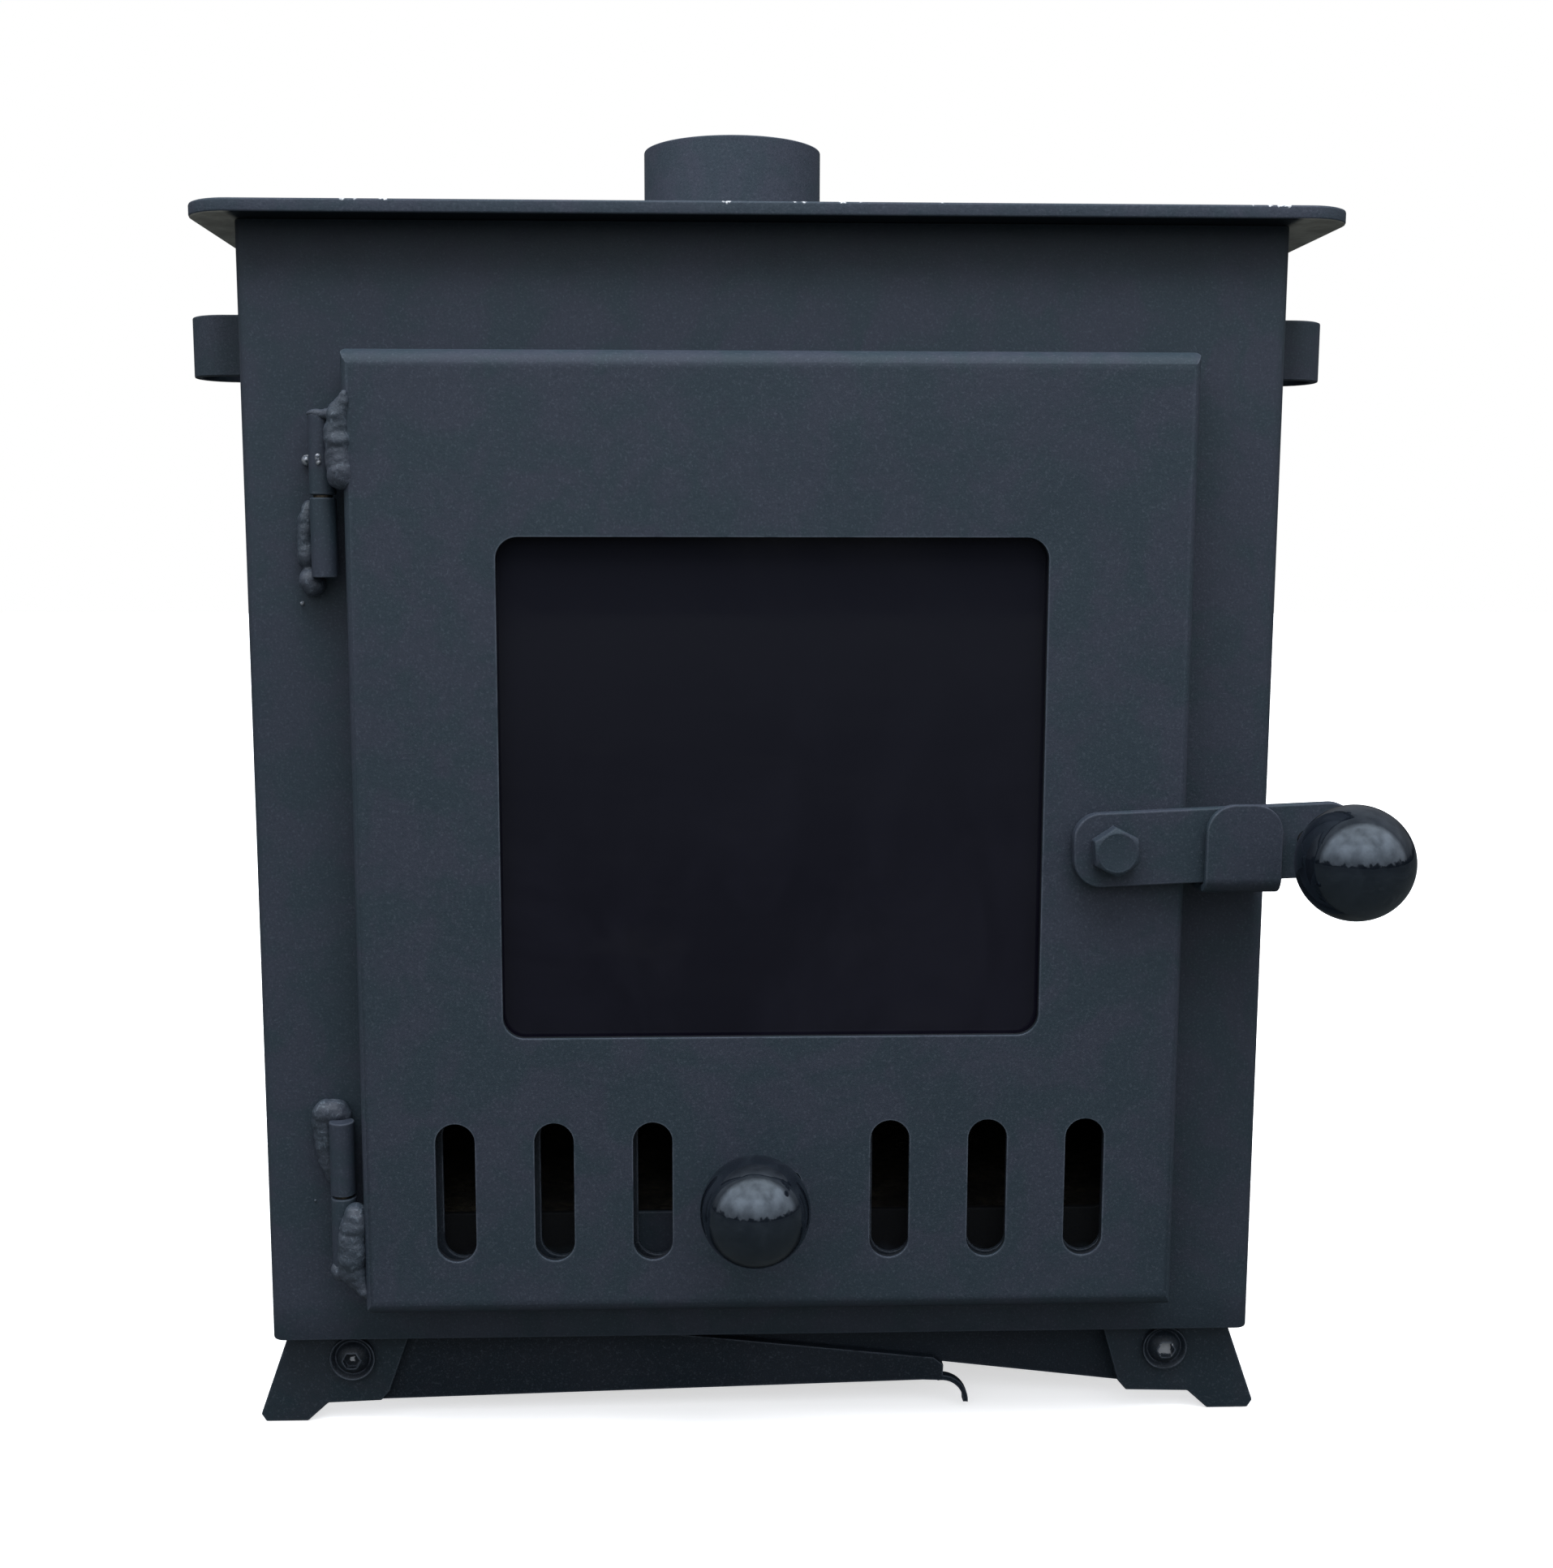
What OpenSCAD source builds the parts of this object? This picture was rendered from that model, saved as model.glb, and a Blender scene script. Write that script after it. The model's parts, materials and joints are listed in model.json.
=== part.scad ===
// Compact wood burning stove on folding legs.
// Millimetres, +Z up, the door faces -Y. The origin is on the ground, under the middle of the outline.

/* [Body] */
// Width over the two side panels
body_w = 382; // [360:1:400]
// Depth from the front panel to the back panel
body_d = 280; // [260:1:340]
// Height of the panels, from the skirt's edge to the hot plate
body_h = 421; // [410:1:460]
// Thickness of the steel sheet
sheet_t = 3; // [3:0.5:4]
// Outside radius where the sheet is folded at the two front corners
fold_r = 5; // [4:0.5:8]
// Height of the base plate above the skirt's edge, which leaves room for the folded legs
recess_h = 17; // [16:1:24]
// Height of the skirt's edge above the ground when the stove stands on its feet
ground_gap = 37.5; // [34:0.5:45]
// Height of the firebox opening's sill above the skirt's edge
sill_h = 50.5; // [46:0.5:60]

/* [Hot plate and flue] */
// Thickness of the hot plate
plate_t = 5; // [4:0.5:8]
// How far the hot plate stands out past each side panel
plate_side = 18; // [10:1:24]
// How far the hot plate stands out past the front and back panels
plate_front = 12; // [8:1:18]
// Radius of the hot plate's corners
plate_r = 17; // [6:1:24]
// Sideways place of the hot plate's middle
plate_x = 2; // [-3:0.5:3]
// Outside diameter of the flue collar
flue_d = 76; // [70:1:102]
// Wall of the flue collar
flue_wall = 2; // [1.5:0.5:4]
// Height of the flue collar above the hot plate
flue_h = 47; // [30:1:80]
// Sideways place of the flue collar
flue_x = -9; // [-20:1:20]
// Distance from the front panel back to the flue's axis
flue_y = 140; // [100:1:180]

/* [Door] */
// Width of the door
door_w = 306; // [300:1:312]
// Height of the door
door_h = 358; // [350:1:366]
// Sideways place of the door's middle
door_x = 1.7; // [0:0.1:3]
// Height of the door's lower edge above the skirt's edge
door_up = 16.5; // [14:0.5:20]
// Distance from the front panel out to the door's front face
door_out = 18; // [17:0.5:20]
// Outside radius of the folds at the door's upper and lower edges
door_r = 7; // [4:0.5:7]
// Width of the window
window_w = 199; // [170:1:205]
// Height of the window
window_h = 184; // [160:1:190]
// Height of the window's lower edge above the door's lower edge
window_up = 108; // [106:1:114]
// Radius of the window's corners
window_r = 8; // [4:1:20]
// Thickness of the glass
glass_t = 4; // [4:0.5:5]

/* [Air control] */
// Width of each air slot
slot_w = 14.7; // [12:0.1:15]
// Length of each air slot
slot_l = 53.7; // [45:0.1:55]
// Distance between neighbouring slots in a group
slot_pitch = 36.8; // [36:0.1:38]
// Distance between the two slots nearest the middle of the door
slot_gap = 89; // [88:0.5:92]
// Height of the slots' lower ends above the door's lower edge
slot_up = 21.9; // [20:0.1:26]
// How far the slide stands from its fully open place
slide_at_rest = 1.6; // [0:0.1:3]
// Whole travel of the air slide
slide_travel = 15.6; // [15:0.1:16]

/* [Knobs] */
// Diameter of the ball knobs
ball_d = 40; // [35:1:42]
// Distance from the front panel out to the air knob's middle
air_ball_out = 47; // [45:1:60]
// Distance from the front panel out to the latch knob's middle
latch_ball_out = 70; // [60:1:76]

/* [Latch] */
// Distance from the stove's middle to the latch's pivot bolt
latch_x = 126; // [122:0.5:130]
// Height of the latch's pivot bolt above the skirt's edge
latch_up = 195.5; // [180:0.5:210]
// Height of the latch bar
bar_h = 27.5; // [24:0.5:30]
// Thickness of the latch bar
bar_t = 4.8; // [4:0.1:5]
// Length of the latch bar to the left of its pivot
bar_left = 14.5; // [14:0.5:17]
// Length of the latch bar to the right of its pivot
bar_right = 90; // [82:1:90]
// Distance along the bar from its pivot to its knob
knob_reach = 72; // [70:1:76]
// How much the bar's free end is raised when it rests in the keep
bar_tilt = 2.5; // [0:0.1:3]
// Width of the keep
keep_w = 28; // [24:1:28]
// Distance from the front panel out to the keep's front face
keep_out = 29; // [28:0.5:31]
// Height of the keep
keep_h = 33; // [30:1:36]

/* [Hinges] */
// Diameter of the hinge barrels
barrel_d = 9.5; // [8:0.5:10]
// Length of one hinge barrel
barrel_l = 28.5; // [24:0.5:30]
// Diameter of the hinge pins
pin_d = 5; // [4:0.5:5]
// Distance from the stove's middle to the hinge's axis
hinge_x = 160; // [159.5:0.5:162]
// Distance from the front panel out to the hinge's axis
hinge_out = 8; // [7.5:0.5:9]
// Height of the upper hinge's joint above the skirt's edge
hinge_up_high = 322.9; // [300:0.1:330]
// Height of the lower hinge's joint above the skirt's edge
hinge_up_low = 61.6; // [60:0.1:80]

/* [Side loops] */
// Height of the strap that each side loop is bent from
loop_h = 22.5; // [20:0.5:30]
// How far each loop stands out from its side panel
loop_out = 27; // [26:0.5:32]
// Width of each loop
loop_w = 30; // [26:1:36]
// Height of the loops' middle above the skirt's edge
loop_up = 380; // [340:1:390]
// Distance from the front panel back to the loops' middle
loop_y = 47; // [40:1:80]

/* [Feet and legs] */
// Slant of the feet, from upright
foot_slant = 19.5; // [15:0.5:24]
// Distance from the stove's middle to each leg's pivot
pivot_x = 161.5; // [160:0.5:163]
// How much further in the right feet and legs stand than the left ones
right_inset = 1.5; // [0:0.5:3]
// Depth of each leg's pivot below the skirt's edge
pivot_drop = 11; // [10:0.5:12]
// Distance from each leg's pivot to where its toe starts
leg_l = 234; // [200:1:240]
// Half the width of a leg at its pivot
leg_r = 20; // [18:0.5:20]
// Half the width of a leg at its toe
leg_tip = 4.2; // [4:0.1:6]
// Thickness of a leg
leg_t = 4; // [3:0.5:4]
// Angle of the folded left legs below level
left_fold = 2.4; // [2:0.1:3]
// Angle of the folded right legs above level
right_fold = 3.3; // [2.5:0.1:3.5]

/* [Hidden] */
$fn = 64;

// Clearance between parts that move past each other
gap = 0.3;
// Radial clearance of a pin or bolt that turns in its bore
running = 0.06;
// A little extra on a cutting solid, so that it passes right through
cut = 1;

// The front panel's outer face, placed so that the whole outline is centred on the origin
front_y = (latch_ball_out + ball_d / 2 - body_d - plate_front) / 2;
back_y = front_y + body_d;
skirt_z = ground_gap;
top_z = skirt_z + body_h;
base_z = skirt_z + recess_h;
floor_z = base_z + sheet_t;
sill_z = skirt_z + sill_h;
opening_h = 300;
lintel_z = sill_z + opening_h;
opening_w = 270;
opening_r = 10;
inner_w = body_w - 2 * sheet_t;
inner_r = fold_r - sheet_t;
mid_y = (front_y + back_y) / 2;
collar_below = 12;

// Inside the firebox
baffle_z = top_z - 62;
throat = 70;
rest_w = 14;
rest_t = 2;
rest_in = 60;
rest_l = body_d - 80;
brick_t = 25;
brick_front = 10;
brick_gap = 1;
wall_brick_h = 230;

// Door
door_y = front_y - door_out;
door_back = front_y - 1;
door_corner = 2;
door_low_corner = 5;
door_z = skirt_z + door_up;
pan_t = sheet_t;
pan_side_r = 0.5;
pan_in_y = door_y + pan_t;
pan_in_w = door_w - 2 * pan_t;
gasket_t = 2;
glass_w = window_w + 24;
glass_h = window_h + 24;
window_z = door_z + window_up;
glass_y = pan_in_y + gasket_t;
clip_t = 2;
clip_w = 18;
clip_l = 24;
clip_screw_d = 5;
rope_d = 6;
ledge_t = 8;
ledge_w = 6;
fit = 0.2;
clip_x = glass_w / 2 + clip_l / 2 - 9;
clip_back = glass_y + glass_t;
clip_zs = [window_z + 24, window_z + window_h - 24];
clip_screw_x = 4;

// Air slide
slot_z = door_z + slot_up;
slide_t = 2;
slide_y = door_y + 9;
slide_lap = 6.4;
slide_more = 1.5;
slide_h = slot_l + 2 * slide_lap;
slide_z = slot_z - slide_lap;
slide_open_x = door_x + slide_at_rest;
slide_left = 141.5;
slide_right = 127.5;
rail_h = 7;
rail_l = 280;
groove = 2.5;
air_stud_d = 8;
air_knob_x = -5.5;
air_knob_z = slot_z + slot_l / 2 + 3;
air_slot_w = air_stud_d + 1;
air_nut_h = 1.8;
air_lock_nut_h = 4;
stud_nut_af = 13;
knob_bore = 22;
neck_d = 17;
neck_end = ball_d / 2 + 3;
air_stud_y = front_y - air_ball_out + neck_end - knob_bore + 1;

// Latch
latch_z = skirt_z + latch_up;
bolt_d = 10;
bolt_af = 16;
bolt_head_h = 6.4;
washer_t = 1.4;
play = 0.2;
bar_y = door_y - washer_t - play - bar_t;
bar_r = 10;
bolt_front = bar_y - play - bolt_head_h;
head_ring = 0.6;
latch_nut_h = 6;
latch_nut_y = pan_in_y + washer_t;
knob_x = latch_x + knob_reach * cos(bar_tilt);
knob_z = latch_z + knob_reach * sin(bar_tilt);
latch_stud_d = 8;
latch_stud_y = front_y - latch_ball_out + neck_end - knob_bore + 1;
keep_x = 159;
keep_z = skirt_z + 179.6;
keep_bend = 6;
keep_corner = 10.5;

// Hinges
hinge_y = front_y - hinge_out;
hinge_z_high = skirt_z + hinge_up_high;
hinge_z_low = skirt_z + hinge_up_low;
barrel_gap = 1;
pin_l = 40;
hinge_bore_l = 21;
hinge_washer_t = 0.8;
hinge_washer_d = pin_d + 2;
loose = pin_d + 2 * running;
weld_over = 4;

// Feet: the web stands behind the front panel, with room for a button head between them
web_in = 9;
web_t = 3;
web_w = 47.5;
web_wider = 4;
web_x = body_w / 2 - 5;
pad_lip = 3;
flange_d = 20;
flange_t = 3;
pivot_z = skirt_z - pivot_drop;
left_leg_in = web_in + web_t + 0.4;
right_leg_in = left_leg_in + leg_t + 0.6;
stud_end = right_leg_in + leg_t + 0.4;
toe_r = 9.8;
toe_t = 2;
foot_h = ground_gap;

// Leg bolts
head_d = 17.5;
head_h = 5.2;
dome_d = 13.5;
rim_h = 2.4;
socket_af = 6;
socket_h = 3.2;
bush_d = 16;
leg_washer_d = 20;
leg_washer_t = 1.6;
leg_nut_h = 8;

// A rectangle with rounded corners, its lower left corner at the origin
module rounded(w, h, r) {
    translate([r, 0]) square([w - 2 * r, h]);
    translate([0, r]) square([w, h - 2 * r]);
    for (x = [r, w - r], y = [r, h - r]) translate([x, y]) circle(r = r);
}

// A rectangle with only its two lower corners rounded
module folded(w, h, r) {
    translate([r, 0]) square([w - 2 * r, h]);
    translate([0, r]) square([w, h - r]);
    for (x = [r, w - r]) translate([x, r]) circle(r = r);
}

// A slot with full round ends, its lower left corner at the origin
module slot_2d(w, l) {
    translate([w / 2, w / 2]) circle(d = w);
    translate([w / 2, l - w / 2]) circle(d = w);
    translate([0, w / 2]) square([w, l - w]);
}

// Draws a shape of X and Z as a plate that starts at y and goes back by t
module upright(y, t) {
    translate([0, y + t, 0]) rotate([90, 0, 0]) linear_extrude(height = t) children();
}

// A rod along Y from y, going back by l
module rod(x, y, z, d, l) {
    translate([x, y, z]) rotate([-90, 0, 0]) cylinder(d = d, h = l);
}

// A ring along Y from y, going back by l
module ring(x, y, z, d, hole, l) {
    difference() {
        rod(x, y, z, d, l);
        rod(x, y - cut, z, hole, l + 2 * cut);
    }
}

// A hexagon along Y from y, going back by l, with a bore
module hex_nut(x, y, z, af, hole, l) {
    difference() {
        translate([x, y, z]) rotate([-90, 0, 0]) cylinder(d = af / cos(30), h = l, $fn = 6);
        rod(x, y - cut, z, hole, l + 2 * cut);
    }
}

// ---- Body ----

module body_shell() {
    color("#3b434b") difference() {
        translate([-body_w / 2, front_y, skirt_z]) linear_extrude(height = body_h) difference() {
            folded(body_w, body_d, fold_r);
            translate([sheet_t, sheet_t]) folded(inner_w, body_d, inner_r);
        }
        translate([door_x - opening_w / 2, 0, sill_z])
            upright(front_y - cut, sheet_t + 2 * cut) rounded(opening_w, lintel_z - sill_z, opening_r);
    }
}

module back_panel() {
    color("#3b434b") translate([-inner_w / 2, back_y - sheet_t, skirt_z]) cube([inner_w, sheet_t, body_h]);
}

module base_plate() {
    color("#343b42") translate([-inner_w / 2, front_y + sheet_t, base_z]) linear_extrude(height = sheet_t)
        folded(inner_w, body_d - 2 * sheet_t, inner_r + fit);
}

module hot_plate() {
    color("#363d44") difference() {
        translate([plate_x - body_w / 2 - plate_side, front_y - plate_front, top_z])
            linear_extrude(height = plate_t)
                rounded(body_w + 2 * plate_side, body_d + 2 * plate_front, plate_r);
        translate([flue_x, front_y + flue_y, top_z - cut]) cylinder(d = flue_d, h = plate_t + 2 * cut);
    }
}

module flue_collar() {
    length = collar_below + plate_t + flue_h;
    color("#363d44") translate([flue_x, front_y + flue_y, top_z - collar_below]) difference() {
        cylinder(d = flue_d, h = length);
        translate([0, 0, -cut]) cylinder(d = flue_d - 2 * flue_wall, h = length + 2 * cut);
    }
}

module baffle_plate() {
    color("#4a4a48") translate([-inner_w / 2 + brick_gap, front_y + throat, baffle_z])
        cube([inner_w - 2 * brick_gap, body_d - throat - sheet_t - brick_gap, sheet_t]);
}

module baffle_rests() {
    color("#343b42") for (side = [0, 1]) mirror([side, 0, 0])
        translate([-inner_w / 2, front_y + rest_in, baffle_z - rest_w]) {
            cube([rest_t, rest_l, rest_w]);
            translate([0, 0, rest_w - rest_t]) cube([rest_w, rest_l, rest_t]);
        }
}

module brick_floor() {
    inset = brick_t + 2 * brick_gap;
    color("#b9a98b") translate([-inner_w / 2 + inset, front_y + brick_front, floor_z])
        cube([inner_w - 2 * inset, body_d - brick_front - sheet_t - inset, brick_t]);
}

module wall_brick(side) {
    color("#b9a98b") mirror([side, 0, 0])
        translate([-inner_w / 2 + brick_gap, front_y + brick_front, floor_z])
            cube([brick_t, body_d - brick_front - sheet_t - brick_gap, wall_brick_h]);
}

module brick_back() {
    inset = brick_t + 2 * brick_gap;
    color("#b9a98b") translate([-inner_w / 2 + inset, back_y - sheet_t - brick_t - brick_gap, floor_z])
        cube([inner_w - 2 * inset, brick_t, wall_brick_h]);
}

// A strap bent to a round-ended loop, welded by its two ends to the side panel
module side_loop(side) {
    arm = loop_out - loop_w / 2;
    eye_r = loop_w / 2 - sheet_t;
    color("#3b434b") mirror([side, 0, 0])
        translate([-body_w / 2, front_y + loop_y, skirt_z + loop_up - loop_h / 2])
            linear_extrude(height = loop_h) difference() {
                union() {
                    translate([-arm, 0]) circle(d = loop_w);
                    translate([-arm, -loop_w / 2]) square([arm, loop_w]);
                }
                translate([-arm, 0]) circle(r = eye_r);
                translate([-arm, -eye_r]) square([arm + cut, 2 * eye_r]);
                translate([0, -loop_w / 2]) square(loop_w);
            }
}

// A strap that leaves the front panel, turns up in front of the latch bar and ends with round corners
module latch_keep() {
    color("#3b434b") intersection() {
        translate([keep_x, front_y, keep_z]) rotate([90, 0, 90])
            linear_extrude(height = keep_w) difference() {
                union() {
                    translate([-keep_out + keep_bend, 0]) square([keep_out - keep_bend, sheet_t]);
                    translate([-keep_out, keep_bend]) square([sheet_t, keep_h - keep_bend]);
                    intersection() {
                        translate([-keep_out + keep_bend, keep_bend]) circle(r = keep_bend);
                        translate([-keep_out, 0]) square([keep_bend, keep_bend]);
                    }
                }
                translate([-keep_out + keep_bend, keep_bend]) circle(r = keep_bend - sheet_t);
            }
        translate([keep_x, 0, keep_z - keep_w]) upright(front_y - keep_out - cut, keep_out + 2 * cut)
            rounded(keep_w, keep_h + keep_w, keep_corner);
    }
}

// ---- Hinges ----

// A hinge barrel with a blind bore, which starts at its upper end if upper is 1 and at its lower end if 0
module barrel(z, hole, upper) {
    translate([-hinge_x, hinge_y, z]) difference() {
        cylinder(d = barrel_d, h = barrel_l);
        translate([0, 0, (barrel_l - hinge_bore_l) * upper]) cylinder(d = hole, h = hinge_bore_l);
    }
}

module hinge_barrel_body_upper() {
    color("#343b42") barrel(hinge_z_high - barrel_gap / 2 - barrel_l, pin_d, 1);
}

module hinge_barrel_door_upper() {
    color("#343b42") barrel(hinge_z_high + barrel_gap / 2, loose, 0);
}

module hinge_barrel_body_lower() {
    color("#343b42") barrel(hinge_z_low + barrel_gap / 2, pin_d, 0);
}

module hinge_barrel_door_lower() {
    color("#343b42") barrel(hinge_z_low - barrel_gap / 2 - barrel_l, loose, 1);
}

module hinge_pins() {
    color("silver") for (z = [hinge_z_high, hinge_z_low])
        translate([-hinge_x, hinge_y, z - pin_l / 2]) cylinder(d = pin_d, h = pin_l);
}

module hinge_washers() {
    color("goldenrod") for (z = [hinge_z_high, hinge_z_low])
        translate([-hinge_x, hinge_y, z - hinge_washer_t / 2]) difference() {
            cylinder(d = hinge_washer_d, h = hinge_washer_t);
            translate([0, 0, -cut]) cylinder(d = loose, h = hinge_washer_t + 2 * cut);
        }
}

// A weld bead along a barrel, on the outer side, where the barrel meets the front panel
module weld_to_body(z, l) {
    translate([-hinge_x, front_y, z]) difference() {
        linear_extrude(height = l) polygon([[-10, 0], [-8.6, -2.6], [-4, -5], [0, -4], [0, 0]]);
        translate([0, -hinge_out, -cut]) cylinder(d = barrel_d, h = l + 2 * cut);
    }
}

// A weld bead along a barrel, on the side where the barrel meets the door's edge
module weld_to_door(z, l) {
    reach = hinge_x + door_x - door_w / 2;
    difference() {
        translate([-hinge_x, hinge_y, z]) linear_extrude(height = l)
            polygon([[0, -4], [4, -6.4], [reach, -6.6], [reach, 3], [3, 3.4]]);
        translate([-hinge_x, hinge_y, z - cut]) cylinder(d = barrel_d, h = l + 2 * cut);
        door_outside();
    }
}

module hinge_welds_body() {
    color("#3f474e") {
        weld_to_body(hinge_z_high - 2 * barrel_gap - barrel_l - weld_over, barrel_l + weld_over);
        weld_to_body(hinge_z_low + 2 * barrel_gap, barrel_l + weld_over);
    }
}

module hinge_welds_door() {
    color("#3f474e") {
        weld_to_door(hinge_z_high + 2 * barrel_gap, barrel_l + weld_over);
        weld_to_door(hinge_z_low - 2 * barrel_gap - barrel_l - weld_over, barrel_l + weld_over);
    }
}

// ---- Door ----

// A shallow box, open at the back. Its front edges are folded: tightly at its sides, and by r at its ends
module pan_solid(w, d, h, side_r, r) {
    intersection() {
        linear_extrude(height = h) folded(w, d, side_r);
        rotate([90, 0, 90]) linear_extrude(height = w) union() {
            translate([r, 0]) square([d - r, h]);
            translate([0, r]) square([d, h - 2 * r]);
            for (z = [r, h - r]) translate([r, z]) circle(r = r);
        }
    }
}

// The front outline of the door, with one lower corner ground rounder where it meets the hinge's weld
module door_outline() {
    difference() {
        rounded(door_w, door_h, door_corner);
        difference() {
            translate([-cut, -cut]) square(door_low_corner + cut);
            translate([door_low_corner, door_low_corner]) circle(r = door_low_corner);
        }
    }
}

module door_outside() {
    depth = door_back - door_y;
    translate([door_x - door_w / 2, door_y, door_z]) intersection() {
        pan_solid(door_w, depth, door_h, pan_side_r + pan_t, door_r);
        upright(-cut, depth + 2 * cut) door_outline();
    }
}

// Places a shape for each of the six air slots
module each_slot() {
    for (side = [-1, 1], i = [0:2])
        translate([side * (slot_gap / 2 + i * slot_pitch) - slot_w / 2, 0]) children();
}

// Cuts the six air slots through a sheet, with their lower ends moved down by more
module air_slots(x, y, t, more) {
    translate([x, 0, slot_z - more]) upright(y - cut, t + 2 * cut) each_slot() slot_2d(slot_w, slot_l + more);
}

module door_panel() {
    color("#3d454d") difference() {
        door_outside();
        translate([door_x - pan_in_w / 2, pan_in_y, door_z + pan_t])
            pan_solid(pan_in_w, door_back - pan_in_y + cut, door_h - 2 * pan_t, pan_side_r, door_r - pan_t);
        translate([door_x - window_w / 2, 0, window_z])
            upright(door_y - cut, pan_t + 2 * cut) rounded(window_w, window_h, window_r);
        air_slots(door_x, door_y, pan_t, 0);
        translate([air_knob_x - slide_at_rest - air_slot_w / 2, 0, air_knob_z - air_slot_w / 2])
            upright(door_y - cut, pan_t + 2 * cut) translate([slide_travel + air_slot_w, 0])
                rotate(90) slot_2d(air_slot_w, slide_travel + air_slot_w);
        rod(latch_x, door_y - cut, latch_z, bolt_d, pan_t + 2 * cut);
    }
}

module glass_outline(w, h) {
    translate([door_x - w / 2, 0, window_z + window_h / 2 - h / 2]) children();
}

module door_glass() {
    color("#15161a") glass_outline(glass_w, glass_h)
        upright(glass_y, glass_t) rounded(glass_w, glass_h, window_r);
}

module glass_gasket() {
    color("#2c2c2c") difference() {
        glass_outline(glass_w, glass_h) upright(pan_in_y, gasket_t) rounded(glass_w, glass_h, window_r);
        glass_outline(window_w + 4, window_h + 4)
            upright(pan_in_y - cut, gasket_t + 2 * cut) rounded(window_w + 4, window_h + 4, window_r);
    }
}

// Places a shape at each of the four glass clips, with +X pointing away from the glass
module each_clip() {
    for (side = [0, 1], z = clip_zs)
        translate([door_x, 0, z]) mirror([side, 0, 0]) translate([clip_x, 0, 0]) children();
}

// A clip that presses on the glass with one end and stands on the door with the other
module glass_clips() {
    foot = clip_back - pan_in_y;
    foot_t = 3;
    color("#5b6166") each_clip() difference() {
        union() {
            translate([-clip_l / 2, clip_back, -clip_w / 2]) cube([clip_l, clip_t, clip_w]);
            translate([clip_l / 2 - foot_t, pan_in_y, -clip_w / 2]) cube([foot_t, foot, clip_w]);
        }
        rod(clip_screw_x, clip_back - cut, 0, clip_screw_d, clip_t + 2 * cut);
    }
}

module glass_clip_screws() {
    color("silver") each_clip() {
        rod(clip_screw_x, pan_in_y, 0, clip_screw_d - fit, clip_back + clip_t - pan_in_y);
        rod(clip_screw_x, clip_back + clip_t, 0, 9, 3);
    }
}

// A frame that lies in the door's folded rim and carries the rope
module rope_ledge() {
    w = pan_in_w - 2 * fit;
    h = door_h - 2 * pan_t - 2 * fit;
    color("#343b42") translate([door_x - w / 2, pan_in_y, door_z + pan_t + fit]) difference() {
        pan_solid(w, ledge_t, h, pan_side_r, door_r - pan_t);
        translate([ledge_w, -cut, ledge_w]) cube([w - 2 * ledge_w, ledge_t + 2 * cut, h - 2 * ledge_w]);
    }
}

// The rope fills the space between the pan's rim and the front panel, with round corners
module rope_seal() {
    r = rope_d / 2;
    bend = 9;
    w = pan_in_w - rope_d - 2 * fit;
    h = door_h - 2 * pan_t - rope_d - 2 * fit;
    color("#d8d2c4") translate([door_x, pan_in_y + ledge_t + r, door_z + door_h / 2]) rotate([90, 0, 0]) {
        for (side = [-1, 1]) {
            translate([side * w / 2, -h / 2 + bend, 0]) rotate([-90, 0, 0]) cylinder(r = r, h = h - 2 * bend);
            translate([-w / 2 + bend, side * h / 2, 0]) rotate([0, 90, 0]) cylinder(r = r, h = w - 2 * bend);
        }
        for (turn = [0, 1, 2, 3]) {
            across = turn % 2 == 0 ? w : h;
            along = turn % 2 == 0 ? h : w;
            rotate([0, 0, 90 * turn]) translate([across / 2 - bend, along / 2 - bend, 0])
                rotate_extrude(angle = 90) translate([bend, 0]) circle(r = r);
        }
    }
}

// ---- Air control ----

module air_slide() {
    color("#2f353b") difference() {
        translate([slide_open_x - slide_left, slide_y, slide_z])
            cube([slide_left + slide_right, slide_t, slide_h]);
        air_slots(slide_open_x, slide_y, slide_t, slide_more);
        rod(air_knob_x, slide_y - cut, air_knob_z, air_stud_d, slide_t + 2 * cut);
    }
}

// Two grooved bars behind the door that carry the slide's upper and lower edges
module air_slide_rails() {
    lip = 2;
    depth = slide_y + slide_t + gap + lip - pan_in_y;
    color("#343b42") translate([door_x, pan_in_y, slide_z + slide_h / 2])
        for (side = [0, 1]) mirror([0, 0, side])
            translate([-rail_l / 2, 0, slide_h / 2 + gap - groove]) difference() {
                cube([rail_l, depth, rail_h]);
                translate([-cut, slide_y - gap - pan_in_y, -cut])
                    cube([rail_l + 2 * cut, slide_t + 2 * gap, groove + cut]);
            }
}

// A ball with a short neck and a blind bore, its neck pointing to +Y
module ball_knob(x, y, z, stud) {
    difference() {
        union() {
            translate([x, y, z]) sphere(d = ball_d, $fn = 96);
            rod(x, y, z, neck_d, neck_end);
        }
        rod(x, y + neck_end - knob_bore, z, stud, knob_bore + cut);
    }
}

module air_knob() {
    color("#0d0e10") ball_knob(air_knob_x, front_y - air_ball_out, air_knob_z, air_stud_d);
}

module air_knob_stud() {
    length = slide_y + slide_t + air_nut_h - air_stud_y;
    color("silver") rod(air_knob_x, air_stud_y, air_knob_z, air_stud_d, length);
}

module air_knob_nut() {
    color("silver") {
        hex_nut(air_knob_x, slide_y + slide_t, air_knob_z, stud_nut_af, air_stud_d, air_nut_h);
        hex_nut(air_knob_x, slide_y - air_lock_nut_h, air_knob_z, stud_nut_af, air_stud_d, air_lock_nut_h);
    }
}

// ---- Latch ----

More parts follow.
